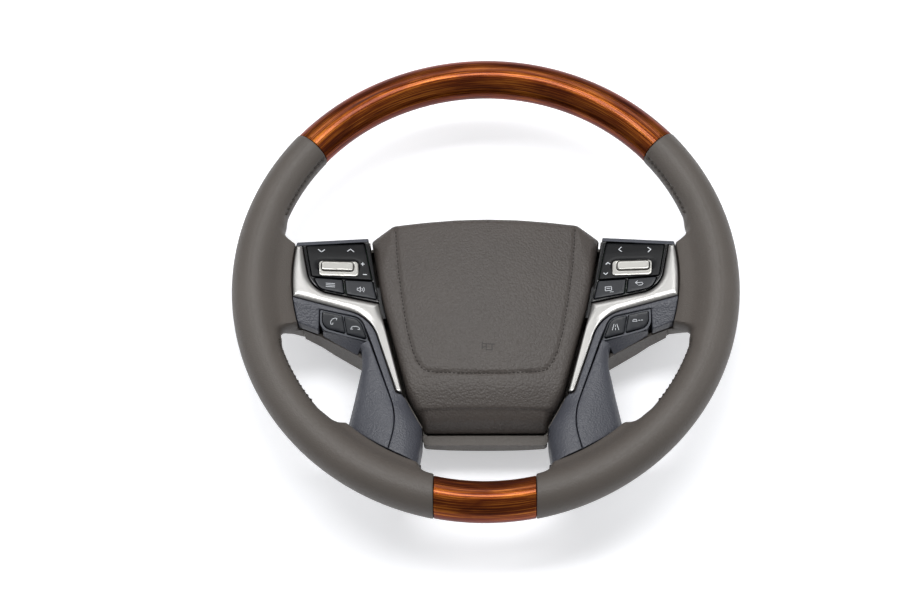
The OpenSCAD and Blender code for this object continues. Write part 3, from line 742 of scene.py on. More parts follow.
def wood():
    """Lacquered veneer: dark streaks, wider bands and a golden glow, which read as depth."""
    material, tree = new_material("lacquered_veneer")
    where = add(tree, "TexCoord")
    run, warp = [add(tree, "Mapping", {"Scale": (1000 / long, 1000 / wide, 1)}, Vector=where.outputs["UV"])
                 for long, wide in (STREAK_MM, BAND_MM)]
    lines = add(tree, "TexNoise", {"Scale": 1.0, "Detail": 8.0, "Roughness": 0.65, "Distortion": 0.5},
                Vector=run.outputs[0])
    bands = add(tree, "TexNoise", {"Scale": 1.0, "Detail": 3.0, "Distortion": 0.8}, Vector=warp.outputs[0])
    dark = add(tree, "ValToRGB", None, Fac=lines.outputs["Fac"])
    light = add(tree, "ValToRGB", None, Fac=bands.outputs["Fac"])
    for ramp, stops in ((dark.color_ramp, ((0.3, "240C02"), (0.72, "D08A34"))),
                        (light.color_ramp, ((0.35, "8A4A1C"), (0.65, "FFFFFF")))):
        for stop, (place, colour) in zip(ramp.elements, stops):
            stop.position, stop.color = place, linear(colour)
    dark.color_ramp.elements.new(0.48).color = linear("70340C")
    mix = add(tree, "Mix", {"data_type": "RGBA", "blend_type": "MULTIPLY"})
    mix.inputs["Factor"].default_value = 0.7
    tree.links.new(dark.outputs[0], mix.inputs[COLOUR_A])
    tree.links.new(light.outputs[0], mix.inputs[COLOUR_B])
    skin = add(tree, "BsdfPrincipled", {"Roughness": 0.3, "IOR": 1.5, "Metallic": 0.75,
                                        "Specular Tint": linear("A85C20"), "Coat Tint": linear("FFC890"),
                                        "Coat Weight": 0.35, "Coat Roughness": 0.16, "Coat IOR": 1.4},
               Base_Color=mix.outputs[2])
    add(tree, "OutputMaterial", None, Surface=skin.outputs[0])
    return material


lacquered = wood()
print("a streak is", [round(mm, 2) for mm in STREAK_MM], "mm")

# %% [markdown]
# A wooden grip is turned as a ring, cut to length and lacquered all round, so it is a plain tube,
# a little thinner than the leather beside it, with its end edges eased. It is lofted like the
# leather. Each corner of each face then gets its UV from its place: the length along the middle of
# the rim, and the length round the section.

# %% Wooden grips
def wood_grip(name, node, start, end):
    """A round tube along the rim, with its two end edges eased by half a millimetre."""
    r, sides = 15.1, 72
    eased = [(0, 0.5), (0.15, 0.22), (0.5, 0)]
    steps = [(start + o / RING_R * 180 / pi, r - d) for o, d in eased]
    steps += [(a, r) for a in np.arange(start + 0.8, end - 0.7, 0.8)]
    steps += [(end - o / RING_R * 180 / pi, r - d) for o, d in reversed(eased)]
    sections = []
    for a, rr in steps:
        phi = np.linspace(0, 2 * pi, sides, endpoint=False)
        rad = RING_R + rr * np.cos(phi)
        t = np.full(sides, radians(a))
        if start < 0:
            # The lower grip's ends turn square, each over its last six degrees
            t = (squared(a, rad, max(0.0, (a + 84) / 6)) if a > -90
                 else -pi - squared(-180 - a, rad, max(0.0, (-96 - a) / 6)))
        sections.append(np.column_stack([rad * np.cos(t), rad * np.sin(t), RIM_Z + rr * np.sin(phi)]))
    points, faces = lofted(sections[::-1])
    made = build(name, points, faces, lacquered, "wheel", [node], slot="lacquered_wood")
    uv = made.data.uv_layers.new(name="along_and_round")
    for loop in made.data.loops:
        x, y, z = (c * 1000 for c in made.data.vertices[loop.vertex_index].co)
        along = atan2(y, x) * RING_R
        around = atan2(z - RIM_Z, hypot(x, y) - RING_R) * r
        if around < -0.5 * pi * r:
            around += 2 * pi * r
        uv.data[loop.index].uv = (along / 1000, around / 1000)
    return made


wood_grip("veneer_top", "wood_grip_top", 40, 140)
wood_grip("veneer_bottom", "wood_grip_bottom", WOOD_END - 180, -WOOD_END)
print("two wooden grips")

# %% [markdown]
# The trim on the spokes has two real finishes. The bezels are ABS with a satin metal paint: fine
# aluminium flake under a dull clear coat, so a bright but blurred metal. The switch panels are
# moulded ABS, gloss black round the switches and soft-touch painted on the pads. All of them are
# one network with other numbers, so one function makes them: a fine grain moves the roughness a
# little and bumps the surface, which keeps a large smooth face from looking drawn.

# %% Trim materials
def painted(name, colour, rough, metal=0.0, grain_mm=0.5, depth=0.05, shine=0.5, spread=0.04):
    """Smooth moulded or painted surface with a faint grain that breaks up the highlights."""
    material, tree = new_material(name)
    where = add(tree, "TexCoord")
    fine = add(tree, "TexNoise", {"Scale": 1000 / grain_mm, "Detail": 2.0}, Vector=where.outputs["Object"])
    bump = add(tree, "Bump", {"Strength": depth, "Distance": 0.0001}, Height=fine.outputs["Fac"])
    matt = add(tree, "MapRange", {"To Min": rough - spread, "To Max": rough + spread},
               Value=fine.outputs["Fac"])
    skin = add(tree, "BsdfPrincipled", {"Base Color": linear(colour), "Metallic": metal,
                                        "Specular IOR Level": shine},
               Roughness=matt.outputs[0], Normal=bump.outputs[0])
    add(tree, "OutputMaterial", None, Surface=skin.outputs[0])
    return material


# Flake paint spreads a highlight wide and keeps it bright: the eye reads metal, but not a mirror
satin = painted("satin_flake_paint", "A8A7A5", 0.3, 1.0)
# Plating has no grain of its own, so the small rings show one even, soft gradient
chrome = painted("satin_chrome_plate", "A3A29E", 0.28, 1.0, depth=0.0, spread=0.0)
# Almost a mirror: it shows the lamps as crisp shapes, which sets the panel off from the pad on it
gloss_black = painted("gloss_black_abs", "0E0F11", 0.16, depth=0.01)
# The only mid grey. On the panel's upper edge it is painted highlight, the light on the black top that falls
# back there; round the lower buttons it dresses the lower housing
bar_grey = painted("grained_grey_abs_and_painted_highlight", "4A4D55", 0.4)
# Soft-touch paint swallows light, so the pad looks velvety beside the gloss
soft_black = painted("soft_touch_black", "0D0E11", 0.4, shine=0.22)
# A little lighter than the pad, so the four small buttons can be told from it
button_grey = painted("button_slate_abs", "1C1F25", 0.36, shine=0.35)
print([material.name for material in (satin, chrome, gloss_black, bar_grey, soft_black, button_grey)])

# %% [markdown]
# The bezel is a satin frame. Its leg runs beside the airbag cover, and its arm runs out to the rim
# below the switches and turns up beside the leather. It is moulded, then painted. The face is
# crowned, so that a highlight runs along it, and the left bezel is the same moulding mirrored.

# %% Bezels
BEZEL_ROLL, BEZEL_DROP = 5.5, 1.5
bezel_corners = [[150, 31.5, 0], [150, -11, 0], [86.9, -24.6, 28],
                 [65.8, -87.9, 3], [61.9, -87.4, 1], [81.3, -12.9, 1], [133.1, -5, 20], [140.8, 31.5, 0.8]]
pod_arc = (POD_CENTRE, POD_R)
bezel_outline = evenly(cut_by_circle(rounded(bezel_corners, 4), *pod_arc))


def bezel_face(x, y):
    """A face that rolls down towards every edge of the arm. On the leg this fades away."""
    off = how_far(np.column_stack([x, y]), np.vstack([bezel_outline, bezel_outline[:1]]))
    near = 1 - np.minimum(off, BEZEL_ROLL) / BEZEL_ROLL
    return cone(x, y, 0.4) - BEZEL_DROP * near ** 2 * smooth((y + 38) / 22)


bezel = moulding(bezel_outline, bezel_face, level(cone, -5), edge=1.2, net=1.1)
both_sides("satin_bezel", bezel, satin, "satin_silver", solid="bezel")
print("a bezel has", len(bezel[1]), "faces")

# %% [markdown]
# The lower spokes are covered by two shells of soft moulded vinyl. Their faces continue the cone
# of the bezels, and below the switches they roll over a crown like the back of a hand. The lower
# switches lie on a plane that falls away from the bezel. First come these surfaces, then the edges
# along which the faces roll down. Sculpting could give such forms too, but formulas keep both
# shells and both sides in line with each other.

# %% Surfaces of the lower spokes
CROWN_R = 60    # radius of the roll across the spoke


def crown(x, y):
    """Height of the rolled crown of a lower spoke, whose roundness fades towards the switches."""
    t = radians(83)     # the way the spoke runs, through the point (72, -110)
    along = (x - 72) * cos(t) + (y + 110) * sin(t)
    across = -(x - 72) * sin(t) + (y + 110) * cos(t)
    bend = (1 - smooth((y + 92) / 44)) / CROWN_R
    return cone(131.5, 0) - along * 0.085 - across * across * bend / 2


def low_plane(x, y, drop=0.0):
    """The falling plane of the lower switches, below a crease that leaves the bezel's corner."""
    t = radians(9.8)
    along = (x - 94.6) * cos(t) + (y + 26.9) * sin(t)
    over = -(x - 94.6) * sin(t) + (y + 26.9) * cos(t)
    return cone(94.6, 26.9, -drop) + 0.158 * along + 0.221 * over


def low_face(x, y, drop=0.0):
    return np.minimum(cone(x, y, -drop), low_plane(x, y, drop))


def rolled(off, radius):
    """How far a face has dropped at a distance from the edge that it rolls over."""
    near = 1 - np.minimum(off, radius) / radius
    return radius * (1 - np.sqrt(np.maximum(0, 1 - near * near)))


print("at (95, -110) the crown lies", round(float(cone(95, -110) - crown(95, -110)), 1), "mm below the cone")

# %% [markdown]
# A cover's face takes the lower of these surfaces and rolls down at two flanks: the outer one,
# which the fingers reach round, and the inner one beside the airbag cover. A moulded skin can't
# have a sharp edge there, so each flank follows a quarter circle of 8 or 9.5 mm.

# %% Faces of the covers
outer_flank = np.array([[96, -44], [93.4, -52], [93.3, -62], [94.6, -72], [98, -92], [105.5, -128]])
inner_flank = np.array([[66, -86], [59.6, -91.6], [48, -111.5], [47.1, -126], [50, -154]])
bezel_line = np.array([[150, -11.2], [108, -20.3], [95, -25.5], [87.5, -33], [80.5, -52], [66, -90]])


def cover_top(x, y):
    """The cone, the switches' plane or the crown, and the two edges along which it rolls down."""
    here = np.column_stack([x, y])
    face = np.where(x > 125.6, low_face(x, y), cone(x, y))
    # A step of 0.7 mm along the bezel, so that the bezel stands proud of the cover
    face = face - 0.7 * smooth((how_far(here, bezel_line) - 4.4) / 1.2) * smooth((y + 46) / 6)
    face = np.where(y < -44, np.minimum(face, crown(x, y)), face)
    face = face - rolled(how_far(here, outer_flank), 8) * smooth((-44 - y) / 12)
    return face - rolled(how_far(here, inner_flank) / 1.4, 9.5) * smooth((-84 - y) / 16)


# Radius and height of the rear cover's bowl
bowl = np.array([[52, 0], [72, 7], [98, 15], [124, 25], [150, 41]], float)


def cover_foot(x, y):
    """A cover's wall ends on the bowl of the rear cover, and higher up behind the bezel."""
    return np.where(y < -56, np.interp(np.hypot(x, y), bowl[:, 0], bowl[:, 1]) + 0.2, cone(x, y, -14))


print("beside the switches the face lies at", cover_top(np.array([130.0]), np.array([-25.0])).round(1), "mm")

# %% [markdown]
# Each shell is one moulding. Its outline is that of the solid model, drawn back onto the circles
# where the leather begins, and its foot follows the bowl of the rear cover, so no light shows
# between them.

# %% Spoke covers
inner_cover_corners = [[150, -11.8, 0], [150, -29.1, 0], [126.4, -36.9, 1], [125.9, -21.1, 0.6],
                       [94.3, -26.2, 10.5], [87.2, -43, 1], [64.4, -109, 55], [75.5, -154, 0],
                       [50, -154, 0], [47.3, -124, 8], [47.3, -113, 2], [59.6, -91.6, 20],
                       [62.4, -89, 0.5], [66.6, -89, 3.2], [87.5, -25.3, 28.5]]
outer_cover_corners = [[88, -44.9, 1], [94.6, -48.5, 3], [92, -64, 30], [105.5, -128, 0],
                       [76.1, -154, 0], [64.95, -109, 55]]


def cover_outline(corners):
    """Ends the upper part on the pod's arc, and the lower spoke on a circle round the hub."""
    points = evenly(rounded(corners, 5), 0.7)
    upper = (points[:, 1] > -60)[:, None]
    return np.where(upper, drawn_in(points, *pod_arc), drawn_in(points, (0, 0), LOW_END_R))


for which, cover_corners in (("inner", inner_cover_corners), ("outer", outer_cover_corners)):
    shell = moulding(cover_outline(cover_corners), cover_top, cover_foot, edge=0.7, net=2.5)
    both_sides(which + "_shell", shell, slate_skin, "slate_moulding", solid=which + "_cover")
    print("the", which, "shell has", len(shell[1]), "faces")

# %% [markdown]
# A switch pod is a black housing with the four-way pad above and two buttons below it. The pad's
# upper strip is folded back, and a satin ring with a wedge shaped push button sits in its lower
# part. Each is its own moulding with a fine gap round it. The outlines come first, as the hole in
# one piece is the outline of the next, grown by the gap.

# %% Outlines of the switch pods
housing_corners = [[90.9, 42.6, 1], [150, 34.2, 0], [150, 32, 0], [140.4, 32, 0.4],
                   [132.7, -4.6, 20], [81, -12.4, 0.6]]
rocker_corners = [[93.9, 37.6, 1.2], [137.6, 31.8, 1.5], [132.4, 5.8, 1.5], [87.1, 5.8, 0.8]]
outer_top_button = [[130.9, 4.6, 1], [109.5, 4.4, 0.6], [107.9, -6.8, 0.6], [126.2, -4, 8]]
inner_top_button = [[107.3, 4.4, 0.6], [86.8, 4.6, 0.6], [83.1, -9.9, 0.8], [105.7, -7.1, 0.6]]


def slot_outline(at, size, r, grow=0.0):
    """A rounded bar, turned by 3 degrees as the ring and the push button are."""
    w, h, t = size[0] / 2 + grow, size[1] / 2 + grow, radians(-3)
    points = rounded([[w, h, r + grow], [-w, h, r + grow], [-w, -h, r + grow], [w, -h, r + grow]], 8)
    return points @ np.array([[cos(t), sin(t)], [-sin(t), cos(t)]]) + np.array(at)


def ring_shape(grow=0.0):
    return slot_outline((112.3, 13.5), (30, 12.6), 3, grow)


def button_shape(grow=0.0):
    return slot_outline((113.2, 15.2), (24.4, 7.6), 2.4, grow)


def grown(corners, gap):
    return inset(rounded(corners, 8), -gap)


print("the push button is", np.round(np.ptp(button_shape(), axis=0), 1), "mm")

# %% [markdown]
# The pad and the panel are flat over most of their faces, but each has an upper strip that falls
# back, and the pad has a shallow dish by which a finger finds the push button.

# %% Faces of the switch pods
DISH = 0.9
dish_line = np.array([[101.5, 16.6], [124.5, 15.4]])


def folded(x, y):
    """The pad's face: its upper strip falls back by 12 degrees above a crease, and a shallow
    dish lies over the ring, so that a finger finds the push button."""
    off = how_far(np.column_stack([np.ravel(x), np.ravel(y)]), dish_line).reshape(np.shape(x))
    strip = 0.21 * np.maximum(0, y - 25.7)
    return pod_plane(x, y, 0.4) - strip - DISH * smooth((5.6 - off) / 1.2)


def housing_face(x, y):
    """The panel's face, whose top bar falls back by 25 degrees."""
    t = radians(-8.1)
    over = -(x - 90.9) * sin(t) + (y - 38.2) * cos(t)
    return pod_plane(x, y, -0.4) - tan(radians(25)) * np.maximum(0, over)


print("the panel's top bar ends", round(float(housing_face(91, 38) - housing_face(91, 42)), 1), "mm lower")

# %% [markdown]
# The panel round the switches is one black moulding with a hole for the pad and one for each of
# the two upper buttons. A deeper floor closes the holes, so that the gaps look dark but not open.
# A thin grey bar is let into its upper edge, where the top falls back: painted highlight, standing for the
# light on that black face.

# %% Panel and bar
PAD_GAP, CAP_GAP = 0.6, 0.7
# The outer button's outline is split into short sides first, because its corner of 8 mm is so round
holes = [grown(rocker_corners, PAD_GAP), inset(evenly(rounded(outer_top_button, 8)), -CAP_GAP),
         grown(inner_top_button, CAP_GAP)]
housing = moulding(cut_by_circle(rounded(housing_corners), *pod_arc), housing_face, level(pod_plane, -14),
                   edge=0.5, net=2, holes=holes, hole_floor=level(pod_plane, -6), hole_edge=0.25)
both_sides("switch_panel", housing, gloss_black, "black_gloss", solid="switch_housing")
# The bar's grey is painted highlight: light on the black top edge of the panel, which falls back
bar_corners = [[91.2, 42.3, 0.8], [150, 33.95, 0], [150, 30.4, 0], [91.2, 38.8, 0.4]]
bar = moulding(cut_by_circle(rounded(bar_corners), POD_CENTRE, POD_R - 0.1),
               lambda x, y: housing_face(x, y) + 0.25, lambda x, y: housing_face(x, y) - 1, edge=0.3, net=1.5)
both_sides("painted_highlight_bar", bar, bar_grey, "slate_moulding")
print("a panel has", len(housing[1]), "faces")

# %% [markdown]
# The four-way pad tips to all sides. The satin tray in it tips with it, while the wedge in the
# tray is a push button of its own. Each rides on its own body, so they are separate mouldings.

# %% Pad, tray and wedge
pad = moulding(rounded(rocker_corners, 8), folded, level(pod_plane, -4.2), edge=0.6, net=2,
               holes=[ring_shape(0.1)], hole_edge=0.3)
both_sides("pad_face", pad, soft_black, "black_pad", solid="four_way_pad", moving="pad")
tray = moulding(ring_shape(), level(pod_plane, 0.9), level(pod_plane, -4.2), edge=0.5, net=1,
                holes=[button_shape(0.35)], hole_floor=level(pod_plane, -2.6), hole_edge=0.4)
both_sides("pad_tray", tray, chrome, "satin_silver", solid="pad_ring", moving="pad")
wedge = moulding(button_shape(), lambda x, y: pod_plane(x, y, 2.2) - 0.05 * np.maximum(0, y - 12.4),
                 level(pod_plane, -1.7), edge=0.8, net=1)
both_sides("push_wedge", wedge, chrome, "satin_silver", solid="centre_button", moving="centre")
print("pad, tray and wedge have", [len(shape[1]) for shape in (pad, tray, wedge)], "faces")


# %% [markdown]
# The eight small buttons are caps with rounded edges. The upper ones follow the pod's plane and
# the lower ones the plane below the bezel, so each cap is cut from the surface that it lies in.

# %% Button caps
def capped(corners, right_key, left_key, surface, top, foot):
    """A cap between two heights of a surface, for a button on the right and its twin on the left."""
    shape = moulding(rounded(corners, 8), level(surface, top), level(surface, foot), edge=0.5, net=2)
    print(right_key, "and", left_key, "have", len(shape[1]), "faces each")
    for key in (right_key, left_key):
        points, faces = shape if key.startswith("right") else mirrored(*shape)
        build("cap_" + key, points, faces, button_grey, key + "_body", [key], slot="button_slate")


capped(outer_top_button, "right_return_button", "left_source_button", pod_plane, 0, -4.4)
capped(inner_top_button, "right_display_button", "left_voice_button", pod_plane, 0, -4.4)
outer_low_button = [[123.4, -23.2, 0.8], [108.7, -25.7, 0.6], [106.3, -38.4, 0.8], [123.4, -34.4, 7]]
inner_low_button = [[107.1, -26, 0.6], [95.6, -28, 8.4], [90, -41.9, 1], [104.7, -38.8, 0.8]]
capped(outer_low_button, "right_distance_button", "left_call_button", low_face, 0.2, 8.2)
capped(inner_low_button, "right_lane_button", "left_hang_up_button", low_face, 0.2, 8.2)

# %% [markdown]
# Under the lower switches a scoop leads from their housing down to the rear cover, so that a thumb
# can reach them. It is part of the slate covers. Between its upper and its lower edge the height
# is blended by how near a point is to each, which gives a hollow without any modelling by hand.

# %% Scoop
SCOOP_DEPTH = 13.0
scoop_corners = [[125.0, -36.7, 0.3], [97.4, -51.6, 0.5], [95.3, -48.4, 0.3], [89.2, -45.0, 0.3],
                 [105.6, -41.0, 0.3]]
housing_line = np.array([[125.2, -36.3], [105.6, -40.5], [88.4, -43.8]])
rear_line = np.array([[125.4, -37.2], [97.2, -52], [92, -55]])


def scoop_top(x, y):
    """Sinks from the housing's edge to the rear cover's, the fastest at first."""
    here = np.column_stack([x, y])
    near, off = how_far(here, housing_line), how_far(here, rear_line)
    share = near / np.maximum(0.05, near + off)
    return cone(x, y, -3.0) - SCOOP_DEPTH * share ** 0.8


scoop = moulding(rounded(scoop_corners), scoop_top, level(cone, -17.5), edge=0.15, net=1.2)
both_sides("scoop", scoop, slate_skin, "slate_moulding")
print("a scoop has", len(scoop[1]), "faces")

# %% [markdown]
# The rear cover is a hard moulding with a pressed grain, a little lighter than the airbag's skin.
# A narrow shelf of it lies in front of the airbag cover's foot and closes the view into the wheel.

# %% Shelf
# A shallow grain and a firm shine: the eye reads a hard plastic, not a skin
rear_skin = pebbled("rear_cover_moulding", "55504B", "4E4944", 1.4, 0.4, 0.55)
shelf_corners = [[47.1, -112.7, 0.5], [47.1, -118.6, 2.5], [-47.1, -118.6, 2.5], [-47.1, -112.7, 0.5]]
shelf = moulding(rounded(shelf_corners), flat(35.9), flat(33.5), edge=0.3, net=3)
build("rear_shelf", *shelf, rear_skin, "wheel", slot="taupe_moulding")
print("the shelf is", round(35.9 - 33.5, 1), "mm thick")

# %% [markdown]
# The switches carry plain pictograms in pale ink, pad printed: chevrons, a plus and a minus, a
# return arrow, handsets and the like. Ink is only some hundredths of a millimetre thick, so each
# stroke is a thin box that stands 0.03 mm proud of its button and moves with it. An image texture
# would need a file and would blur close up, while strokes stay crisp. First comes the helper.

# %% Ink
# Pale, dull and even, so that the eye takes it for print and not for light
ink = painted("pad_printed_ink", "DDE1E6", 0.5)
INK_DEPTH = 0.15    # how far the boxes reach down into the button
BOX = ((0, 1, 2, 3), (7, 6, 5, 4), (0, 4, 5, 1), (1, 5, 6, 2), (2, 6, 7, 3), (3, 7, 4, 0))


def printed(name, body, surface, at, strokes, material, width=0.5, lift=0.03):
    """Lines of strokes round a place on a surface. Each stroke is a box with square ends."""
    boxes = []
    for stroke in strokes:
        line = np.array(stroke, float) + at
        for p, q in zip(line[:-1], line[1:]):
            d = unit(q - p) * width / 2
            n = np.array([-d[1], d[0]])
            ends = (p - d - n, q + d - n, q + d + n, p - d + n)
            box = [(x, y, float(surface(x, y)) + high) for high in (lift, lift - INK_DEPTH) for x, y in ends]
            boxes.append((box, BOX))
    return build(name, *joined(boxes), material, body, slot="button_slate")


print("a stroke stands 0.03 mm proud and reaches", INK_DEPTH, "mm down")

# %% [markdown]
# A sign is a few lines of points in millimetres, drawn round its own middle. Plain signs that any
# car could carry are enough: they have to look right from the driver's seat, not under a glass.

# %% Signs
up = [[(-2.1, -0.9), (0, 1.0), (2.1, -0.9)]]
down = [[(-2.1, 0.9), (0, -1.0), (2.1, 0.9)]]
to_left = [[(0.9, 1.9), (-1.0, 0), (0.9, -1.9)]]
to_right = [[(-0.9, 1.9), (1.0, 0), (-0.9, -1.9)]]
plus, minus = [[(-1, 0), (1, 0)], [(0, -1), (0, 1)]], [[(-1.1, 0), (1.1, 0)]]
small_up = [[(-1.3, -0.6), (0, 0.6), (1.3, -0.6)]]
small_down = [[(-1.3, 0.6), (0, -0.6), (1.3, 0.6)]]
bars = [[(-2.6, 1.1), (2.6, 1.1)], [(-2.6, 0), (2.6, 0)], [(-2.6, -1.1), (2.6, -1.1)]]
sound = [[(-2.2, 0.7), (-1.3, 0.7), (-0.3, 1.6), (-0.3, -1.6), (-1.3, -0.7), (-2.2, -0.7), (-2.2, 0.7)],
         [(0.7, 0.9), (1.0, 0), (0.7, -0.9)], [(1.7, 1.5), (2.2, 0), (1.7, -1.5)]]
screen = [[(-2.3, 1.4), (1.5, 1.4), (1.5, -1.2), (-2.3, -1.2), (-2.3, 1.4)], [(-1.4, 0.3), (0.7, 0.3)],
          [(0.6, -2.2), (2.5, -2.2)]]
turn_back = [[(-0.9, 1.9), (-2.3, 0.8), (-0.9, -0.3)],
             [(-2.2, 0.8), (1.5, 0.8), (2.4, 0), (1.5, -1), (-0.4, -1)]]
handset = [[(2.2, 1.7), (1.0, 1.9), (-0.6, 1.2), (-1.6, -0.4), (-1.5, -1.8), (-0.4, -2.0)],
           [(2.2, 1.7), (1.9, 0.8)], [(-0.4, -2.0), (-0.2, -1.1)]]
handset_down = [[(-2.7, -0.9), (-2.2, 0.3), (-0.9, 0.8), (0.9, 0.8), (2.2, 0.3), (2.7, -0.9)],
                [(-2.7, -0.9), (-1.6, -0.9)], [(2.7, -0.9), (1.6, -0.9)]]
car_gap = [[(-2.9, -0.5), (-2.5, 0.6), (-0.7, 0.6), (-0.3, -0.5), (-2.9, -0.5)], [(0.7, 0), (1.5, 0)],
           [(2.2, 0), (3.0, 0)]]
lane = [[(-1.9, -1.7), (-0.9, 1.7)], [(1.9, -1.7), (0.9, 1.7)], [(0, -1.7), (0, -0.7)], [(0, 0.3), (0, 1.2)]]


print("a handset has", len(handset), "lines")

# %% [markdown]
# Each sign then gets its body, the surface that it lies on and its place. The pads carry bold
# signs and the buttons finer ones. Signs on the left have their own places, as they aren't
# mirrored: a handset would then be held the wrong way round.

# %% Pictograms
low_top = level(low_face, 0.2)
marks = [("left_pad", folded, (-126.1, 28.1), down), ("left_pad", folded, (-104, 30.4), up),
         ("left_pad", folded, (-94.3, 18.9), plus), ("left_pad", folded, (-92.4, 10.1), minus),
         ("right_pad", folded, (126.1, 28.1), to_right), ("right_pad", folded, (104, 30.4), to_left),
         ("right_pad", folded, (94.3, 18.9), small_up), ("right_pad", folded, (92.4, 10.1), small_down),
         ("left_source_button_body", pod_plane, (-118.3, -0.6), bars),
         ("left_voice_button_body", pod_plane, (-95.2, -2.6), sound),
         ("right_display_button_body", pod_plane, (94.6, -2.6), screen),
         ("right_return_button_body", pod_plane, (117.3, -0.2), turn_back),
         ("left_call_button_body", low_top, (-115.2, -30), handset),
         ("left_hang_up_button_body", low_top, (-98.6, -34.2), handset_down),
         ("right_distance_button_body", low_top, (115.2, -30), car_gap),
         ("right_lane_button_body", low_top, (98.6, -34.2), lane)]
PAD_SIGN, BUTTON_SIGN = (1.1, 0.6), (1.25, 0.38)    # how much larger than drawn, and the stroke's width in mm


def on_both_sides(surface):
    """A surface of the right half that serves the left half too."""
    return lambda x, y: surface(abs(x), y)


for i, (body, surface, at, strokes) in enumerate(marks):
    larger, width = PAD_SIGN if body.endswith("_pad") else BUTTON_SIGN
    drawn = [[(x * larger, y * larger) for x, y in line] for line in strokes]
    printed(f"pictogram_{i + 1}", body, on_both_sides(surface), np.array(at), drawn, ink, width)
print(len(marks), "pictograms")

# %% [markdown]
# The cover over the airbag is one soft moulding with a crease pressed into its face, which runs
# down both sides and across the foot. The face is a shallow dome. The net is fine here, because
# the crease is only three millimetres wide. A bump could draw the crease as well, but real depth
# catches the light from the side and holds the stitches.

# %% Airbag cover
CREASE_DEPTH, CREASE_HALF = 1.1, 1.3
pad_corners = [[72, 56.5, 12], [89, 45.5, 2.5], [79.8, -6, 250], [58.8, -85.5, 40],
               [45.4, -111, 4], [-45.4, -111, 4], [-58.8, -85.5, 40], [-79.8, -6, 250],
               [-89, 45.5, 2.5], [-72, 56.5, 12], [0, 62.3, 600]]
crease = np.array([[70, 52.1], [68.9, 35.6], [66.9, 14.1], [63.3, -11.3], [59.1, -36.4], [56.6, -46],
                   [54.2, -54.5], [51, -62], [46.8, -68.1], [43, -69.8], [37.5, -70.6], [19.4, -71.7],
                   [0, -72.1]])
crease = np.vstack([crease, crease[-2::-1] * [-1, 1]])


def dome(x, y):
    """A shallow dome that falls at its foot and at its upper flanks."""
    low = np.clip((-y - 78) / 34, 0, 1)
    flank = np.maximum(0, np.abs(x) - 72 - (56 - y) * 0.17) * smooth((y - 5) / 30)
    return 64 - (x * x + (y + 18) ** 2) / 1200 - 5 * low * low * (3 - 2 * low) - 0.3 * flank


def pad_face(x, y):
    d = how_far(np.column_stack([np.ravel(x), np.ravel(y)]), crease).reshape(np.shape(x))
    return dome(x, y) - CREASE_DEPTH * np.exp(-(d / CREASE_HALF) ** 2)


def lean(points):
    """The foot of the pad leans back towards the driver."""
    return [(x, y + (z - 36) * 0.42 * float(smooth((-y - 96) / 12)), z) for x, y, z in points]


points, faces = moulding(rounded(pad_corners, 3), pad_face, flat(36), edge=6, net=1.4)
build("airbag_skin", lean(points), faces, airbag_skin, "horn_pad", ["airbag_cover"], sharp=40,
      slot="taupe_moulding")
print("the cover has", len(faces), "faces and is", round(float(dome(0, -18)) - 36), "mm high")


# %% [markdown]
# Fine stitches sit in the crease, 3.2 mm apart. They are on the cover itself, so they move with
# it. Like those of the seam, they are short bowed tubes, as a thread is thicker than a bump can
# show. Each follows the crease round its bends, so its points are read off along the crease.

# %% Crease stitches
CREASE_PITCH, CREASE_THREAD_R = 3.2, 0.4
# Where a stitch is bent, how far its thread stands out of the crease there, and how thick it is
ALONG, BOW, TAPER = (0, 0.5, 1.15, 1.8, 2.3), (0.0, 0.22, 0.3, 0.22, 0.0), (0.5, 1, 1, 1, 0.5)
# Darker than the skin and dull, with the crease's shade painted into the thread, so that the eye sees a row
# of threads in a shadow
crease_thread = painted("dark_crease_thread", "2F2A27", 0.6)
steps = np.concatenate([[0], np.cumsum(np.hypot(*np.diff(crease, axis=0).T))])


def crease_stitch(start):
    run = [np.array([np.interp(start + t, steps, crease[:, 0]), np.interp(start + t, steps, crease[:, 1])])
           for t in ALONG]
    rings = []
    for k, q in enumerate(run):
        d = unit(run[min(4, k + 1)] - run[max(0, k - 1)])
        n, r = np.array([-d[1], d[0], 0]), CREASE_THREAD_R * TAPER[k]
        centre = np.array([q[0], q[1], float(dome(q[0], q[1])) - CREASE_DEPTH + BOW[k]])
        rings.append([centre + r * (n * cos(radians(b)) + np.array([0, 0, sin(radians(b))]))
                      for b in range(0, 360, 60)])
    return rings


starts = np.arange(1.0, steps[-1] - 2.4, CREASE_PITCH)
points, faces = joined([lofted(crease_stitch(start)) for start in starts])
build("crease_stitches", points, faces, crease_thread, "horn_pad", sharp=60, slot="taupe_moulding")
print(len(starts), "stitches along", round(float(steps[-1])), "mm of crease")

# %% [markdown]
# A small horn is pressed into the cover to say that this is the part to push. Here it is drawn with
# the same strokes as the ink, only wider and in a dark tone of the skin: painted shade, because at
# this size a pressed line is seen as a line of shadow.

# %% Horn sign
# Painted shade: a darker tone of the skin, as a pressed line lies in its own shadow
pressed = painted("pressed_line_painted_shade", "2E2A27", 0.6)
horn = [[(-4.4, 2.6), (-4.4, -2.6)], [(-4.4, 1.6), (4.6, 0.9)], [(-4.4, -1.6), (-1.4, -1.0)],
        [(-1.4, 1.2), (-1.4, -3.6), (3.0, -3.6), (3.0, 0.9)]]
printed("horn_sign", "horn_pad", dome, np.array([2.2, -50.5]), horn, pressed, 0.8)
print("a horn", round(float(np.ptp(np.vstack(horn)[:, 0])), 1), "mm wide")

# %% [markdown]
# What is left of the solid model keeps its own mesh and gets a finish that suits what it is. Most
# of it lies behind the cover, and is seen only from below or with the wheel taken apart. The
# materials of the pieces above are used again where a solid is of the same stuff.

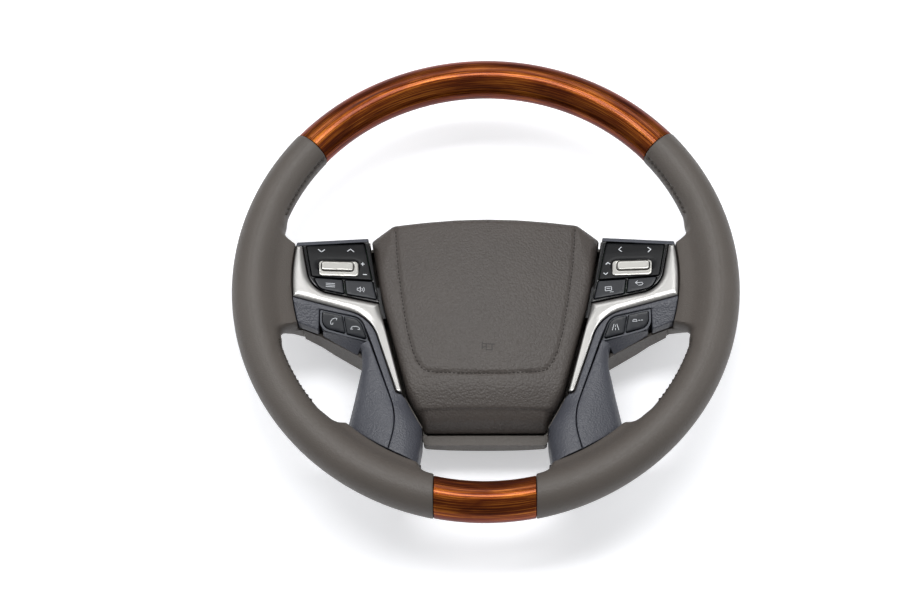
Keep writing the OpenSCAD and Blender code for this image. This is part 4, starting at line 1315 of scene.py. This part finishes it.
# %% Finishes of the other parts
# Die castings are dull, with a coarse skin; zinc plating is finer and brighter
cast = painted("cast_magnesium", "9A9B9C", 0.5, 1.0, 0.8, 0.3)
zinc = painted("zinc_plated_steel", "B4B4B0", 0.35, 1.0, 0.6, 0.08)
# Drawn wire has a darker, smoother shine
spring = painted("drawn_spring_wire", "8C8C8E", 0.3, 1.0, 0.4, 0.05)
# Cloth has no highlight at all, and a grain that is felt
nylon_cloth = painted("folded_nylon", "DEDCD6", 0.8, 0, 0.8, 0.5)
# The green lacquer of a circuit board, milky bare nylon, and brass as it comes from the lathe
board = painted("solder_mask", "1D5A35", 0.35)
natural = painted("natural_nylon", "DAD5C8", 0.45)
brass = painted("turned_brass", "C9A35A", 0.3, 1.0)
finishes = {"cast_alloy": cast, "taupe_moulding": rear_skin, "zinc_steel": zinc, "spring_steel": spring,
            "white_fabric": nylon_cloth, "board_green": board, "natural_nylon": natural, "brass": brass,
            "black_gloss": gloss_black, "lacquered_wood": lacquered, "taupe_leather": leather,
            "satin_silver": satin, "slate_moulding": slate_skin, "black_pad": soft_black,
            "button_slate": button_grey}
slots = {row["node"]: row["material_slot"] for row in frame["record"]["subparts"]}


def dress(thing, material):
    thing.data.materials.clear()
    thing.data.materials.append(material)


for name, thing in frame["nodes"].items():
    if slots.get(name) in finishes:
        dress(thing, finishes[slots[name]])
for side in ("right", "left"):
    dress(frame["nodes"][side + "_lower_housing"], bar_grey)    # one grey with the bar, between the buttons
print(len(finishes), "finishes")

# %% [markdown]
# Three coil springs carry the pad and give way by 2 mm when the horn is pressed. Each is a wire
# swept along a helix. A spring can't just ride on one body, as its foot stays and its head moves
# with the pad. Here the three ride on the wheel as they are, with a mesh of their own.

# %% Horn springs
SPRING_LOW, SPRING_HIGH, SPRING_TURNS, WIRE, COIL = 21.1, 36.5, 4, 1.4, 10.0
SPRINGS_R, HORN_STROKE = 58, 2
STEPS = 24      # sections to a turn


def coil(angle):
    """The sections of a wire that runs up a helix, at an angle round the hub."""
    at = SPRINGS_R * np.array([cos(radians(angle)), sin(radians(angle))])
    rings = []
    for k in range(STEPS * SPRING_TURNS + 1):
        t = 2 * pi * k / STEPS
        z = SPRING_LOW + WIRE / 2 + (SPRING_HIGH - SPRING_LOW - WIRE) * k / (STEPS * SPRING_TURNS)
        phi = -np.linspace(0, 2 * pi, 8, endpoint=False)
        r = COIL / 2 + WIRE / 2 * np.cos(phi)
        rings.append(np.column_stack([at[0] + r * cos(t), at[1] + r * sin(t), z + WIRE / 2 * np.sin(phi)]))
    return rings


points, faces = joined([lofted(coil(angle)) for angle in (35, 145, 270)])
coils = build("coil_springs", points, faces, spring, "wheel", ["horn_springs"], sharp=60, slot="spring_steel")
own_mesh(coils)
